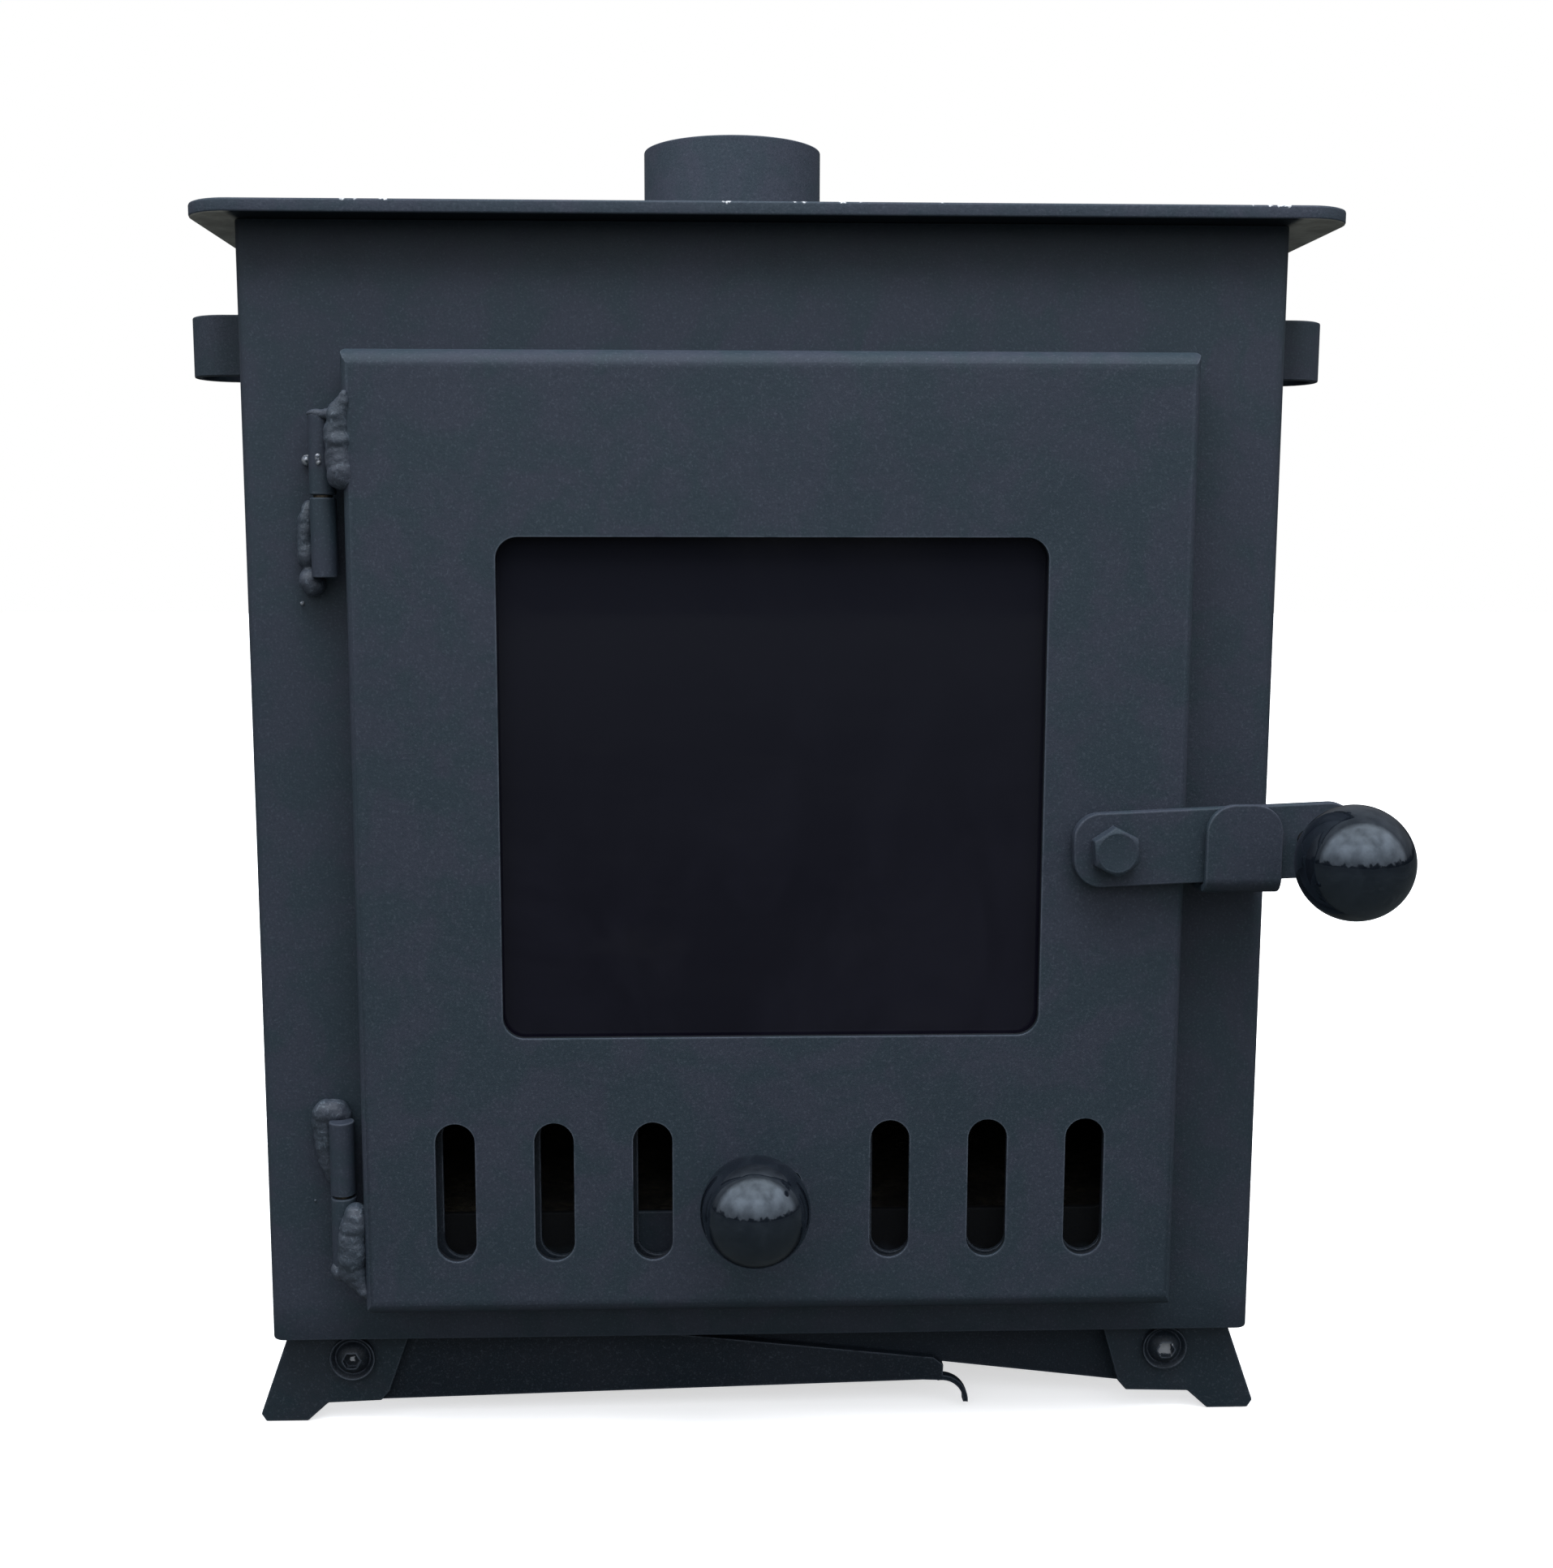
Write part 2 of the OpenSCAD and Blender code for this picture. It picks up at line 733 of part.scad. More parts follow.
module latch_bar() {
    color("#3d454d") difference() {
        translate([latch_x, 0, latch_z]) rotate([0, -bar_tilt, 0]) translate([-bar_left, 0, -bar_h / 2])
            upright(bar_y, bar_t) rounded(bar_left + bar_right, bar_h, bar_r);
        rod(latch_x, bar_y - cut, latch_z, bolt_d + 2 * running, bar_t + 2 * cut);
        rod(knob_x, bar_y - cut, knob_z, latch_stud_d, bar_t + 2 * cut);
    }
}

module latch_bolt() {
    color("#4a525a") {
        translate([latch_x, bolt_front + head_ring, latch_z]) rotate([-90, 0, 0])
            cylinder(d = bolt_af / cos(30), h = bolt_head_h - head_ring, $fn = 6);
        rod(latch_x, bolt_front, latch_z, bolt_af - 1.5, head_ring);
        rod(latch_x, bolt_front + bolt_head_h, latch_z, bolt_d,
            latch_nut_y + latch_nut_h - bolt_front - bolt_head_h);
    }
}

module latch_washers() {
    color("silver") {
        ring(latch_x, door_y - washer_t, latch_z, 20, bolt_d, washer_t);
        ring(latch_x, pan_in_y, latch_z, 20, bolt_d, washer_t);
    }
}

module latch_nut() {
    color("silver") hex_nut(latch_x, latch_nut_y, latch_z, bolt_af, bolt_d, latch_nut_h);
}

module latch_knob() {
    color("#0d0e10") ball_knob(knob_x, front_y - latch_ball_out, knob_z, latch_stud_d);
}

// The stud is screwed into the bar and ends flush with its back, so that the bar swings up clear of the door
module latch_knob_stud() {
    color("silver") rod(knob_x, latch_stud_y, knob_z, latch_stud_d, bar_y + bar_t - latch_stud_y);
}

// ---- Feet and legs ----

function slant_x(z) = z * tan(foot_slant);

// How far the feet on one side are set in, as a move along X
function set_in(side) = -side * right_inset;

// The web of a left foot, seen from the front: a slanted plate with a pad at its lower outer corner
module foot_web(wider = 0) {
    inner = web_x - web_w;
    step = foot_h - 8;
    top = recess_h;
    difference() {
        polygon([
            [-web_x + slant_x(top), top], [-inner + slant_x(top) + wider / 3, top],
            [wider - inner - slant_x(step - 4), -step + 4], [wider - inner - slant_x(step) - 2, -step],
            [-inner - 33.3, -step - 0.7], [-inner - 41.4, -foot_h],
            [-web_x - slant_x(foot_h) + pad_lip, -foot_h],
            [-web_x - slant_x(foot_h - pad_lip), -foot_h + pad_lip]
        ]);
        translate([-pivot_x, -pivot_drop]) circle(d = bolt_d);
    }
}

// A left foot: web, slanted outer flange and a top flange welded under the base plate
module foot(side, end) {
    top = [-web_x + slant_x(recess_h), recess_h];
    low = [-web_x - slant_x(foot_h - pad_lip), -foot_h + pad_lip];
    pad = [-web_x - slant_x(foot_h) + pad_lip, -foot_h];
    thick = [flange_t, 0];
    color("#3b434b") translate([set_in(side), mid_y, skirt_z]) mirror([side, 0, 0]) mirror([0, end, 0])
        translate([0, -body_d / 2, 0]) {
            upright(web_in, web_t) foot_web(side * web_wider);
            upright(web_in, flange_d) polygon([top, top + thick, low + thick, pad + thick, pad, low]);
            translate([top[0], web_in, recess_h - web_t]) cube([web_w, flange_d, web_t]);
        }
}

// The straight part of a leg, along +X from its pivot, with the root of its toe
module leg_blade() {
    root = 2 * toe_t;
    polygon([
        [0, leg_r - gap], [leg_l - 4, leg_tip], [leg_l, leg_tip - 3], [leg_l, toe_t / 2 - leg_tip],
        [leg_l, -toe_t / 2 - leg_tip], [leg_l - 2 * root, -leg_tip - toe_t / 2], [0, gap - leg_r]
    ]);
}

// The thin toe, which curls down from the end of the blade
module leg_toe() {
    translate([leg_l, -leg_tip - toe_r]) intersection() {
        difference() {
            circle(r = toe_r + toe_t / 2);
            circle(r = toe_r - toe_t / 2);
        }
        translate([-toe_t, 0]) square(2 * toe_r);
    }
}

// side 0 is a left leg, which folds in front of its neighbour; side 1 is a right leg
module leg(side, end) {
    depth = side == 0 ? left_leg_in : right_leg_in;
    fold = side == 0 ? -left_fold : right_fold;
    color("#3b434b") translate([set_in(side), mid_y, pivot_z]) mirror([side, 0, 0]) mirror([0, end, 0])
        translate([-pivot_x, -body_d / 2, 0]) rotate([0, -fold, 0]) difference() {
            union() {
                rod(0, depth, 0, 2 * leg_r, leg_t);
                upright(depth, leg_t) leg_blade();
                upright(depth, leg_t) leg_toe();
            }
            rod(0, depth - cut, 0, bolt_d + 2 * running, leg_t + 2 * cut);
        }
}

// Places a shape at each leg's pivot, with +Y pointing into the stove
module each_pivot() {
    for (side = [0, 1], end = [0, 1])
        translate([set_in(side), mid_y, pivot_z]) mirror([side, 0, 0]) mirror([0, end, 0])
        translate([-pivot_x, -body_d / 2, 0]) {
            $side = side;
            children();
        }
}

// A button head: a dome in a dished rim, a hexagonal socket and a plain shank
module leg_bolts() {
    dome_r = (head_h * head_h + dome_d * dome_d / 4) / (2 * head_h);
    color("#3f474e") each_pivot() difference() {
        union() {
            intersection() {
                translate([0, web_in - head_h + dome_r, 0]) sphere(r = dome_r);
                rod(0, web_in - head_h, 0, dome_d, head_h);
            }
            difference() {
                rod(0, web_in - rim_h, 0, head_d, rim_h);
                translate([0, web_in - rim_h - cut, 0]) rotate([-90, 0, 0])
                    cylinder(d1 = head_d + cut, d2 = dome_d, h = rim_h - 0.4 + cut);
            }
            rod(0, web_in, 0, bolt_d, stud_end + leg_washer_t + leg_nut_h - web_in);
        }
        translate([0, web_in - head_h - cut, 0]) rotate([-90, 0, 0])
            cylinder(d = socket_af / cos(30), h = socket_h + cut, $fn = 6);
    }
}

module leg_washers() {
    color("silver") each_pivot() ring(0, stud_end, 0, leg_washer_d, bolt_d, leg_washer_t);
}

// Bushes that fill the part of each bolt beside the leg
module leg_spacers() {
    color("silver") each_pivot() {
        if ($side == 0)
            ring(0, left_leg_in + leg_t + gap, 0, bush_d, bolt_d, stud_end - left_leg_in - leg_t - gap);
        else ring(0, web_in + web_t, 0, bush_d, bolt_d, right_leg_in - web_in - web_t - gap);
    }
}

module leg_nuts() {
    color("silver") each_pivot() hex_nut(0, stud_end + leg_washer_t, 0, bolt_af, bolt_d, leg_nut_h);
}

body_shell();
back_panel();
base_plate();
hot_plate();
flue_collar();
baffle_plate();
baffle_rests();
brick_floor();
wall_brick(0);  // brick_left
wall_brick(1);  // brick_right
brick_back();
side_loop(0);  // side_loop_left
side_loop(1);  // side_loop_right
latch_keep();
hinge_barrel_body_upper();
hinge_barrel_body_lower();
hinge_barrel_door_upper();
hinge_barrel_door_lower();
hinge_pins();
hinge_washers();
hinge_welds_body();
hinge_welds_door();
door_panel();
door_glass();
glass_gasket();
glass_clips();
glass_clip_screws();
rope_ledge();
rope_seal();
air_slide();
air_slide_rails();
air_knob();
air_knob_stud();
air_knob_nut();
latch_bar();
latch_bolt();
latch_washers();
latch_nut();
latch_knob();
latch_knob_stud();
foot(0, 0);  // foot_front_left
foot(1, 0);  // foot_front_right
foot(0, 1);  // foot_rear_left
foot(1, 1);  // foot_rear_right
leg(0, 0);  // leg_front_left
leg(1, 0);  // leg_front_right
leg(0, 1);  // leg_rear_left
leg(1, 1);  // leg_rear_right
leg_bolts();
leg_washers();
leg_spacers();
leg_nuts();
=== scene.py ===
"""Looks of a small wood burning stove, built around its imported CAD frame.

Metres. +Z is up and the door faces -Y. Places come from the CAD nodes' boxes, with named distances from
them for small marks such as chips and soot.
"""

import json
import math
import random

import bmesh
import bpy
from mathutils import Matrix, Vector, noise

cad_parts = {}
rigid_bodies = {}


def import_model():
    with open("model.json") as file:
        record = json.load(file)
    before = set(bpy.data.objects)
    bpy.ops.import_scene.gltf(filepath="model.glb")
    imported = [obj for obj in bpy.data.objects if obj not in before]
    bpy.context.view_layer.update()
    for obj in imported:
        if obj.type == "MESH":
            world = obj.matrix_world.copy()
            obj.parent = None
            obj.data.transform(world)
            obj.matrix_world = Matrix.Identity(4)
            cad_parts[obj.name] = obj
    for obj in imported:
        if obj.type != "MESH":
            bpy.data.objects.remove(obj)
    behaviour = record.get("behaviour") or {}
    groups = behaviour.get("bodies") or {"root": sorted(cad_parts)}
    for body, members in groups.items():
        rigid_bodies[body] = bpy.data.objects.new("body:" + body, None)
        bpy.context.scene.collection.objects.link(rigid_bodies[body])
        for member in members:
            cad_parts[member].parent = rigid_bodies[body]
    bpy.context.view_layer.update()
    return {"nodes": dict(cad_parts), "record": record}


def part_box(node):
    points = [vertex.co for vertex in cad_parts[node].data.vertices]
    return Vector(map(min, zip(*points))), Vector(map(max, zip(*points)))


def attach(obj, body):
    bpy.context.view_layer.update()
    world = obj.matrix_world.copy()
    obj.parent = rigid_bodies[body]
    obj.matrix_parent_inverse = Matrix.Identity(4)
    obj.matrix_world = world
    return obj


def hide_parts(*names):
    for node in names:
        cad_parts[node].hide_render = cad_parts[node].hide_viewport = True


MM = 0.001

for left_over in list(bpy.data.objects):
    bpy.data.objects.remove(left_over)

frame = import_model()
nodes = frame["nodes"]


# ---- Node graphs ----

class Graph:
    """A material's node tree, with short calls for the nodes that the finishes share."""

    def __init__(self, name):
        self.material = bpy.data.materials.new(name)
        self.material.use_nodes = True
        self.tree = self.material.node_tree
        self.tree.nodes.clear()
        output = self.node("ShaderNodeOutputMaterial")
        self.shader = self.node("ShaderNodeBsdfPrincipled")
        self.tree.links.new(self.shader.outputs["BSDF"], output.inputs["Surface"])
        self.place = self.node("ShaderNodeTexCoord").outputs["Object"]

    def node(self, kind, **settings):
        made = self.tree.nodes.new(kind)
        for key, value in settings.items():
            setattr(made, key, value)
        return made

    def feed(self, socket, value):
        """Links a socket to another socket, or sets it to a plain value."""
        if isinstance(value, bpy.types.NodeSocket):
            self.tree.links.new(value, socket)
        else:
            socket.default_value = value

    def set(self, **values):
        """Feeds the shader's sockets, named with _ for each space."""
        for key, value in values.items():
            self.feed(self.shader.inputs[key.replace("_", " ")], value)

    def stretch(self, scale, offset=(0, 0, 0)):
        """Object coordinates for a texture that is longer one way, where its scale is below 1."""
        mapping = self.node("ShaderNodeMapping")
        self.feed(mapping.inputs["Vector"], self.place)
        mapping.inputs["Scale"].default_value = scale
        mapping.inputs["Location"].default_value = offset
        return mapping.outputs["Vector"]

    def noise(self, size, detail=3.0, rough=0.55, warp=0.0, vector=None):
        """Noise whose cells are about size metres across."""
        made = self.node("ShaderNodeTexNoise")
        self.feed(made.inputs["Vector"], vector or self.place)
        made.inputs["Scale"].default_value = 1 / size
        made.inputs["Detail"].default_value = detail
        made.inputs["Roughness"].default_value = rough
        made.inputs["Distortion"].default_value = warp
        return made.outputs[0]

    def cells(self, size, output="Distance"):
        """Irregular cells about size metres across."""
        made = self.node("ShaderNodeTexVoronoi")
        self.feed(made.inputs["Vector"], self.place)
        made.inputs["Scale"].default_value = 1 / size
        return made.outputs[output]

    def maths(self, operation, a, b=0.0):
        made = self.node("ShaderNodeMath", operation=operation)
        self.feed(made.inputs[0], a)
        self.feed(made.inputs[1], b)
        return made.outputs[0]

    def plus(self, a, b):
        return self.maths("ADD", a, b)

    def times(self, *factors):
        """The product of two or more factors."""
        product = factors[0]
        for factor in factors[1:]:
            product = self.maths("MULTIPLY", product, factor)
        return product

    def most(self, a, b):
        return self.maths("MAXIMUM", a, b)

    def apart(self, value, middle):
        """How far a value is from the middle, on either side."""
        return self.maths("ABSOLUTE", self.maths("SUBTRACT", value, middle))

    def ragged(self, size, detail, rough, reach):
        """Noise round 0, which makes the edge of a patch ragged by about half its reach, in metres."""
        centred = self.maths("SUBTRACT", self.noise(size, detail, rough), 0.5)
        return self.times(centred, reach)

    def span(self, value, low, high, to_low=0.0, to_high=1.0, smooth=True):
        """Maps low..high to to_low..to_high, and holds the ends."""
        made = self.node("ShaderNodeMapRange")
        made.interpolation_type = "SMOOTHSTEP" if smooth else "LINEAR"
        for socket, number in zip(made.inputs, (value, low, high, to_low, to_high)):
            self.feed(socket, number)
        return made.outputs[0]

    def mix(self, factor, a, b):
        """Colour a where the factor is 0, and b where it is 1."""
        made = self.node("ShaderNodeMix", data_type="RGBA")
        self.feed(made.inputs[0], factor)
        for socket, value in zip((made.inputs[6], made.inputs[7]), (a, b)):
            self.feed(socket, (*value, 1) if isinstance(value, tuple) and len(value) == 3 else value)
        return made.outputs[2]

    def bump(self, height, depth, strength, under=None):
        """A normal from a height that is depth metres deep, on top of the normal under it."""
        made = self.node("ShaderNodeBump")
        self.feed(made.inputs["Height"], height)
        made.inputs["Distance"].default_value = depth
        made.inputs["Strength"].default_value = strength
        if under is not None:
            self.feed(made.inputs["Normal"], under)
        return made.outputs["Normal"]

    def axes(self):
        """X, Y and Z of the CAD frame."""
        made = self.node("ShaderNodeSeparateXYZ")
        self.feed(made.inputs[0], self.place)
        return made.outputs

    def edges(self, radius):
        """1 near an edge of the solid, 0 on flat ground."""
        rounded = self.node("ShaderNodeBevel", samples=4)
        rounded.inputs["Radius"].default_value = radius
        plain = self.node("ShaderNodeNewGeometry")
        dot = self.node("ShaderNodeVectorMath", operation="DOT_PRODUCT")
        self.feed(dot.inputs[0], rounded.outputs[0])
        self.feed(dot.inputs[1], plain.outputs["Normal"])
        return self.span(dot.outputs["Value"], *EDGE_TURN)


# ---- Finishes ----

# How far the rounded normal turns from the flat one (as a cosine) at an edge's border and on the edge
EDGE_TURN = (0.972, 0.82)

# Colours are linear red, green and blue. Each paint varies between a cool and a warm shade.
PAINT_COOL = (0.0215, 0.0330, 0.0435)
PAINT_WARM = (0.0280, 0.0335, 0.0485)
PAINT_DARK = (0.0170, 0.0255, 0.0360)
# Pale paint for fine grain specks and rubbed edges; along the edges it is also a painted edge highlight
PAINT_WEAR_AND_HIGHLIGHT = (0.0950, 0.1120, 0.1400)
PAINT_GLOSS = 0.30
# Darker copies of the paint as painted shade: on the legs and feet under the stove, and on the air slide
# in its slots
LEG_SHADE_COOL = (0.0048, 0.0095, 0.0155)
LEG_SHADE_WARM = (0.0065, 0.0098, 0.0160)
FOOT_SHADE_COOL = (0.0120, 0.0210, 0.0280)
FOOT_SHADE_WARM = (0.0155, 0.0215, 0.0290)
SLIDE_SHADE_COOL = (0.0060, 0.0095, 0.0140)
SLIDE_SHADE_WARM = (0.0080, 0.0105, 0.0155)
PRIMER = (0.22, 0.205, 0.18)
PRIMER_DUSTY = (0.34, 0.32, 0.285)
CHIP_STEEL = (0.46, 0.48, 0.51)
# Painted shade: under the hot plate, along the skirt and on the plate's underside over the body
PAINTED_SHADE = (0.0035, 0.0078, 0.0125)
# Darker paint on the leg bolts as painted shade
BOLT_SHADE_COOL = (0.0060, 0.0095, 0.0140)
BOLT_SHADE_WARM = (0.0085, 0.0110, 0.0160)
TOP_COOL = (0.0270, 0.0385, 0.0520)
TOP_WARM = (0.0340, 0.0405, 0.0580)
# Weld paint: a lighter copy of the paint, with paler flecks, as painted highlight on the weld's lumps
WELD_LIT_COOL = (0.029, 0.039, 0.052)
WELD_LIT_WARM = (0.039, 0.046, 0.062)
WELD_HIGHLIGHT = (0.105, 0.130, 0.160)
# Soot; behind the door and on the walls of the door's openings it is also painted shade
SOOT_AND_PAINTED_SHADE = (0.0035, 0.0036, 0.0040)
# Scraped steel in the leg bolts' sockets, also a painted glint
SCRAPED_STEEL_AND_GLINT = (0.34, 0.35, 0.37)
BEAD_STEEL = (0.52, 0.54, 0.58)
BEAD_PAINT = (0.10, 0.12, 0.15)
ZINC = (0.46, 0.46, 0.47)
ZINC_DULL = (0.30, 0.29, 0.28)
HEAT_STAIN = (0.20, 0.15, 0.11)
SOOTED_THIN = (0.09, 0.085, 0.08)
SOOTED_THICK = (0.020, 0.019, 0.018)
BRASS = (0.17, 0.14, 0.10)
BRASS_TARNISH = (0.050, 0.044, 0.036)
GLASS_SMOKE = (0.006, 0.0055, 0.0115)
# Diagonal haze streaks on the glass, also a painted sheen
GLASS_HAZE_AND_SHEEN = (0.010, 0.0095, 0.0175)
GLASS_HAZE_HIGH = (0.0130, 0.0136, 0.0200)
ROPE_DARK = (0.36, 0.34, 0.30)
ROPE_PALE = (0.62, 0.60, 0.54)
ROPE_GRIME = (0.12, 0.11, 0.10)
TAPE_DARK = (0.022, 0.022, 0.024)
TAPE_PALE = (0.060, 0.060, 0.064)
BALL_BLACK = (0.004, 0.0055, 0.0085)
BALL_HAZE = (0.009, 0.0115, 0.0160)
BALL_TINT = (0.74, 0.87, 1.0, 1.0)
BRICK_DARK = (0.34, 0.27, 0.18)
BRICK_PALE = (0.56, 0.48, 0.35)
BRICK_SHINY = (0.72, 0.62, 0.40)
BRICK_SPECK = (0.16, 0.12, 0.08)
BRICK_SOOT = (0.014, 0.013, 0.012)
PAPER = (0.80, 0.80, 0.81)
PAPER_PALE = (0.83, 0.83, 0.84)

# Place of the air slot beside the knob, through which the paint shows free of soot and painted shade, in
# metres
CLEAN_SLOT = -0.0425
# Half the width of a leg bolt's head, in metres
BOLT_HALF = 0.00875
# Half the scraped patch, which is also a painted glint, in a left and in a right leg bolt, in metres
SCRAPE_AND_GLINT_LEFT = 0.0011
SCRAPE_AND_GLINT_RIGHT = 0.0026
# The plate's faces show no primer where the Z of their normal is above the first, and only the
# underside's colour below the second: primer beyond the body's sides, painted shade over the body
PRIMED = (-0.5, -0.8)

# What the floor sends back to the object in soft light and in reflections, and where the shadow on it
# fades into the room, in metres from the middle
FLOOR_BOUNCE = (0.13, 0.14, 0.135)
FLOOR_MIRRORED = (0.036, 0.041, 0.042)
FLOOR_PATCH = (0.058, 0.063, 0.062)
FLOOR_FADE = (0.20, 0.42)
SHADOW_LIFT = 0.60

# Brightness of the room, and how much of it is left behind the stove in a glossy reflection
ROOM_LIGHT = 1.38
BACK_LIGHT = 0.22

# Chips along the hot plate's front edge: middle, half length and depth, in metres
CHIPS = (
    (-0.1497, 0.0012, 0.0004), (-0.1452, 0.0008, 0.0004), (-0.1354, 0.0019, 0.0004),
    (-0.0150, 0.0018, 0.0005), (0.0092, 0.0007, 0.0005), (0.0124, 0.0009, 0.0005),
    (0.0261, 0.0016, 0.0004), (0.0324, 0.0006, 0.0004), (0.0614, 0.0006, 0.0004),
    (0.1724, 0.0006, 0.0004), (0.1786, 0.0011, 0.0006), (0.1836, 0.0026, 0.0009),
)


def paint_base(graph, cool=PAINT_COOL, warm=PAINT_WARM, grain=0.0007):
    """Matt stove paint: uneven film, fine grain and rubbed edges that also carry a painted edge
    highlight, as a colour, roughness and normal.
    """
    blotch = graph.noise(0.024, 4, 0.6, 0.5)
    cloud = graph.noise(0.11, 2, 0.5)
    speck = graph.noise(grain * 1.2, 2, 0.6)
    colour = graph.mix(graph.span(blotch, 0.40, 0.60), cool, warm)
    colour = graph.mix(graph.span(cloud, 0.35, 0.75, 0.0, 0.30), colour, PAINT_DARK)
    colour = graph.mix(graph.span(speck, 0.52, 0.76, 0.0, 0.24), colour, PAINT_WEAR_AND_HIGHLIGHT)
    colour = graph.mix(graph.span(speck, 0.46, 0.26, 0.0, 0.7), colour, PAINT_DARK)
    # Edges lightened as rubbed paint and as a painted edge highlight
    rub_and_highlight = graph.times(graph.edges(0.0012), graph.span(graph.noise(0.009, 3), 0.28, 0.52), 0.85)
    colour = graph.mix(rub_and_highlight, colour, PAINT_WEAR_AND_HIGHLIGHT)
    rough = graph.span(graph.plus(blotch, speck), 0.7, 1.3, 0.47, 0.62, smooth=False)
    grainy = graph.bump(graph.noise(grain, 3, 0.65), 0.00012, 0.65)
    film = graph.bump(graph.noise(0.0045, 2), 0.00022, 0.45, grainy)
    normal = graph.bump(graph.noise(0.075, 2, 0.45), 0.0011, 0.6, film)
    return colour, rough, normal


def stove_paint(name="stove_paint", cool=PAINT_COOL, warm=PAINT_WARM):
    graph = Graph(name)
    colour, rough, normal = paint_base(graph, cool, warm)
    graph.set(Base_Color=colour, Roughness=rough, Normal=normal, Specular_IOR_Level=PAINT_GLOSS)
    return graph.material


def body_paint():
    """The stove's paint, with soot inside, soot and painted shade round the firebox opening, and painted
    shade under the hot plate and along the skirt.
    """
    graph = Graph("body_paint")
    colour, rough, normal = paint_base(graph)
    x, y, z = graph.axes()
    lo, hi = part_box("body_shell")
    door_lo, door_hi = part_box("door_panel")

    waver = graph.ragged(0.02, 4, 0.6, 0.016)
    low = graph.plus(z, waver)
    # Painted shade under the hot plate and along the skirt below the door
    shade_under_plate = graph.span(low, hi.z - 0.030, hi.z - 0.001, 0.0, 0.62)
    shade_by_skirt = graph.span(low, door_lo.z + 0.004, lo.z - 0.004, 0.0, 0.50)
    with_painted_shade = graph.mix(graph.most(shade_under_plate, shade_by_skirt), colour, PAINTED_SHADE)

    # The front panel is darkened where the door hides it, by soot and by painted shade in the recess
    # seen through the slots, but not in the slot beside the knob
    half = (door_hi.x - door_lo.x) / 2
    across = graph.apart(x, (door_lo.x + door_hi.x) / 2)
    hidden = graph.span(graph.plus(across, waver), half - 0.008, half - 0.018)
    for clear, dark in ((door_lo.z + 0.012, door_lo.z + 0.020), (door_hi.z - 0.012, door_hi.z - 0.020)):
        hidden = graph.times(hidden, graph.span(low, clear, dark))
    hidden = graph.times(hidden, graph.span(y, lo.y + 0.006, lo.y + 0.004))
    by_knob = graph.apart(x, CLEAN_SLOT)
    above_slots = graph.span(z, door_lo.z + 0.075, door_lo.z + 0.090)
    hidden = graph.times(hidden, graph.most(graph.span(by_knob, 0.012, 0.020), above_slots))

    inside = graph.span(y, lo.y + 0.0012, lo.y + 0.0018)
    inside = graph.times(inside, graph.span(graph.maths("ABSOLUTE", x), hi.x - 0.0012, hi.x - 0.0018))
    inside = graph.times(inside, graph.span(z, lo.z + 0.018, lo.z + 0.024))
    # Soot inside the firebox, and soot with painted shade behind the door
    soot = graph.times(graph.most(hidden, inside), 0.93)
    colour = graph.mix(soot, with_painted_shade, SOOT_AND_PAINTED_SHADE)
    rough = graph.plus(rough, graph.times(soot, 0.3))
    graph.set(Base_Color=colour, Roughness=rough, Normal=normal, Specular_IOR_Level=PAINT_GLOSS)
    return graph.material


def door_paint():
    """The stove's paint, with soot inside the door and on the walls of its openings, where it is also
    painted shade.
    """
    graph = Graph("door_paint")
    colour, rough, normal = paint_base(graph)
    x, y, z = graph.axes()
    lo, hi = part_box("door_panel")
    # Soot inside the door pan, which on the walls of its openings is also painted shade
    soot = graph.span(y, lo.y + 0.0006, lo.y + 0.0016, 0.0, 0.80)
    for value, low, high, fold in ((x, lo.x, hi.x, 0.0026), (z, lo.z, hi.z, 0.0090)):
        away = graph.apart(value, (low + high) / 2)
        half = (high - low) / 2 - fold
        soot = graph.times(soot, graph.span(away, half + 0.0004, half - 0.0004))
    colour = graph.mix(soot, colour, SOOT_AND_PAINTED_SHADE)
    graph.set(Base_Color=colour, Roughness=rough, Normal=normal, Specular_IOR_Level=PAINT_GLOSS)
    return graph.material


def leg_bolt_shade_paint():
    """Near-black paint as painted shade, scraped off in the bolts' sockets by the key: most of it on the
    right. The scraped steel is also a painted glint.
    """
    graph = Graph("leg_bolt_shade_paint")
    colour, _, normal = paint_base(graph, BOLT_SHADE_COOL, BOLT_SHADE_WARM)
    x, _, z = graph.axes()
    lo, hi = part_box("leg_bolts")
    ragged = graph.ragged(0.0014, 4, 0.7, 0.0022)
    scraped_and_glint = None
    for middle, size in ((lo.x + BOLT_HALF, SCRAPE_AND_GLINT_LEFT), (hi.x - BOLT_HALF, SCRAPE_AND_GLINT_RIGHT)):
        sideways = graph.apart(x, middle)
        upwards = graph.apart(z, lo.z + BOLT_HALF)
        away = graph.plus(graph.most(sideways, upwards), ragged)
        one = graph.span(away, size, size - 0.0006)
        scraped_and_glint = one if scraped_and_glint is None else graph.most(scraped_and_glint, one)
    # Scraped steel that is also a painted glint
    colour = graph.mix(scraped_and_glint, colour, SCRAPED_STEEL_AND_GLINT)
    graph.set(Base_Color=colour, Normal=normal, Specular_IOR_Level=PAINT_GLOSS)
    graph.set(Roughness=graph.span(scraped_and_glint, 0, 1, 0.50, 0.38))
    return graph.material


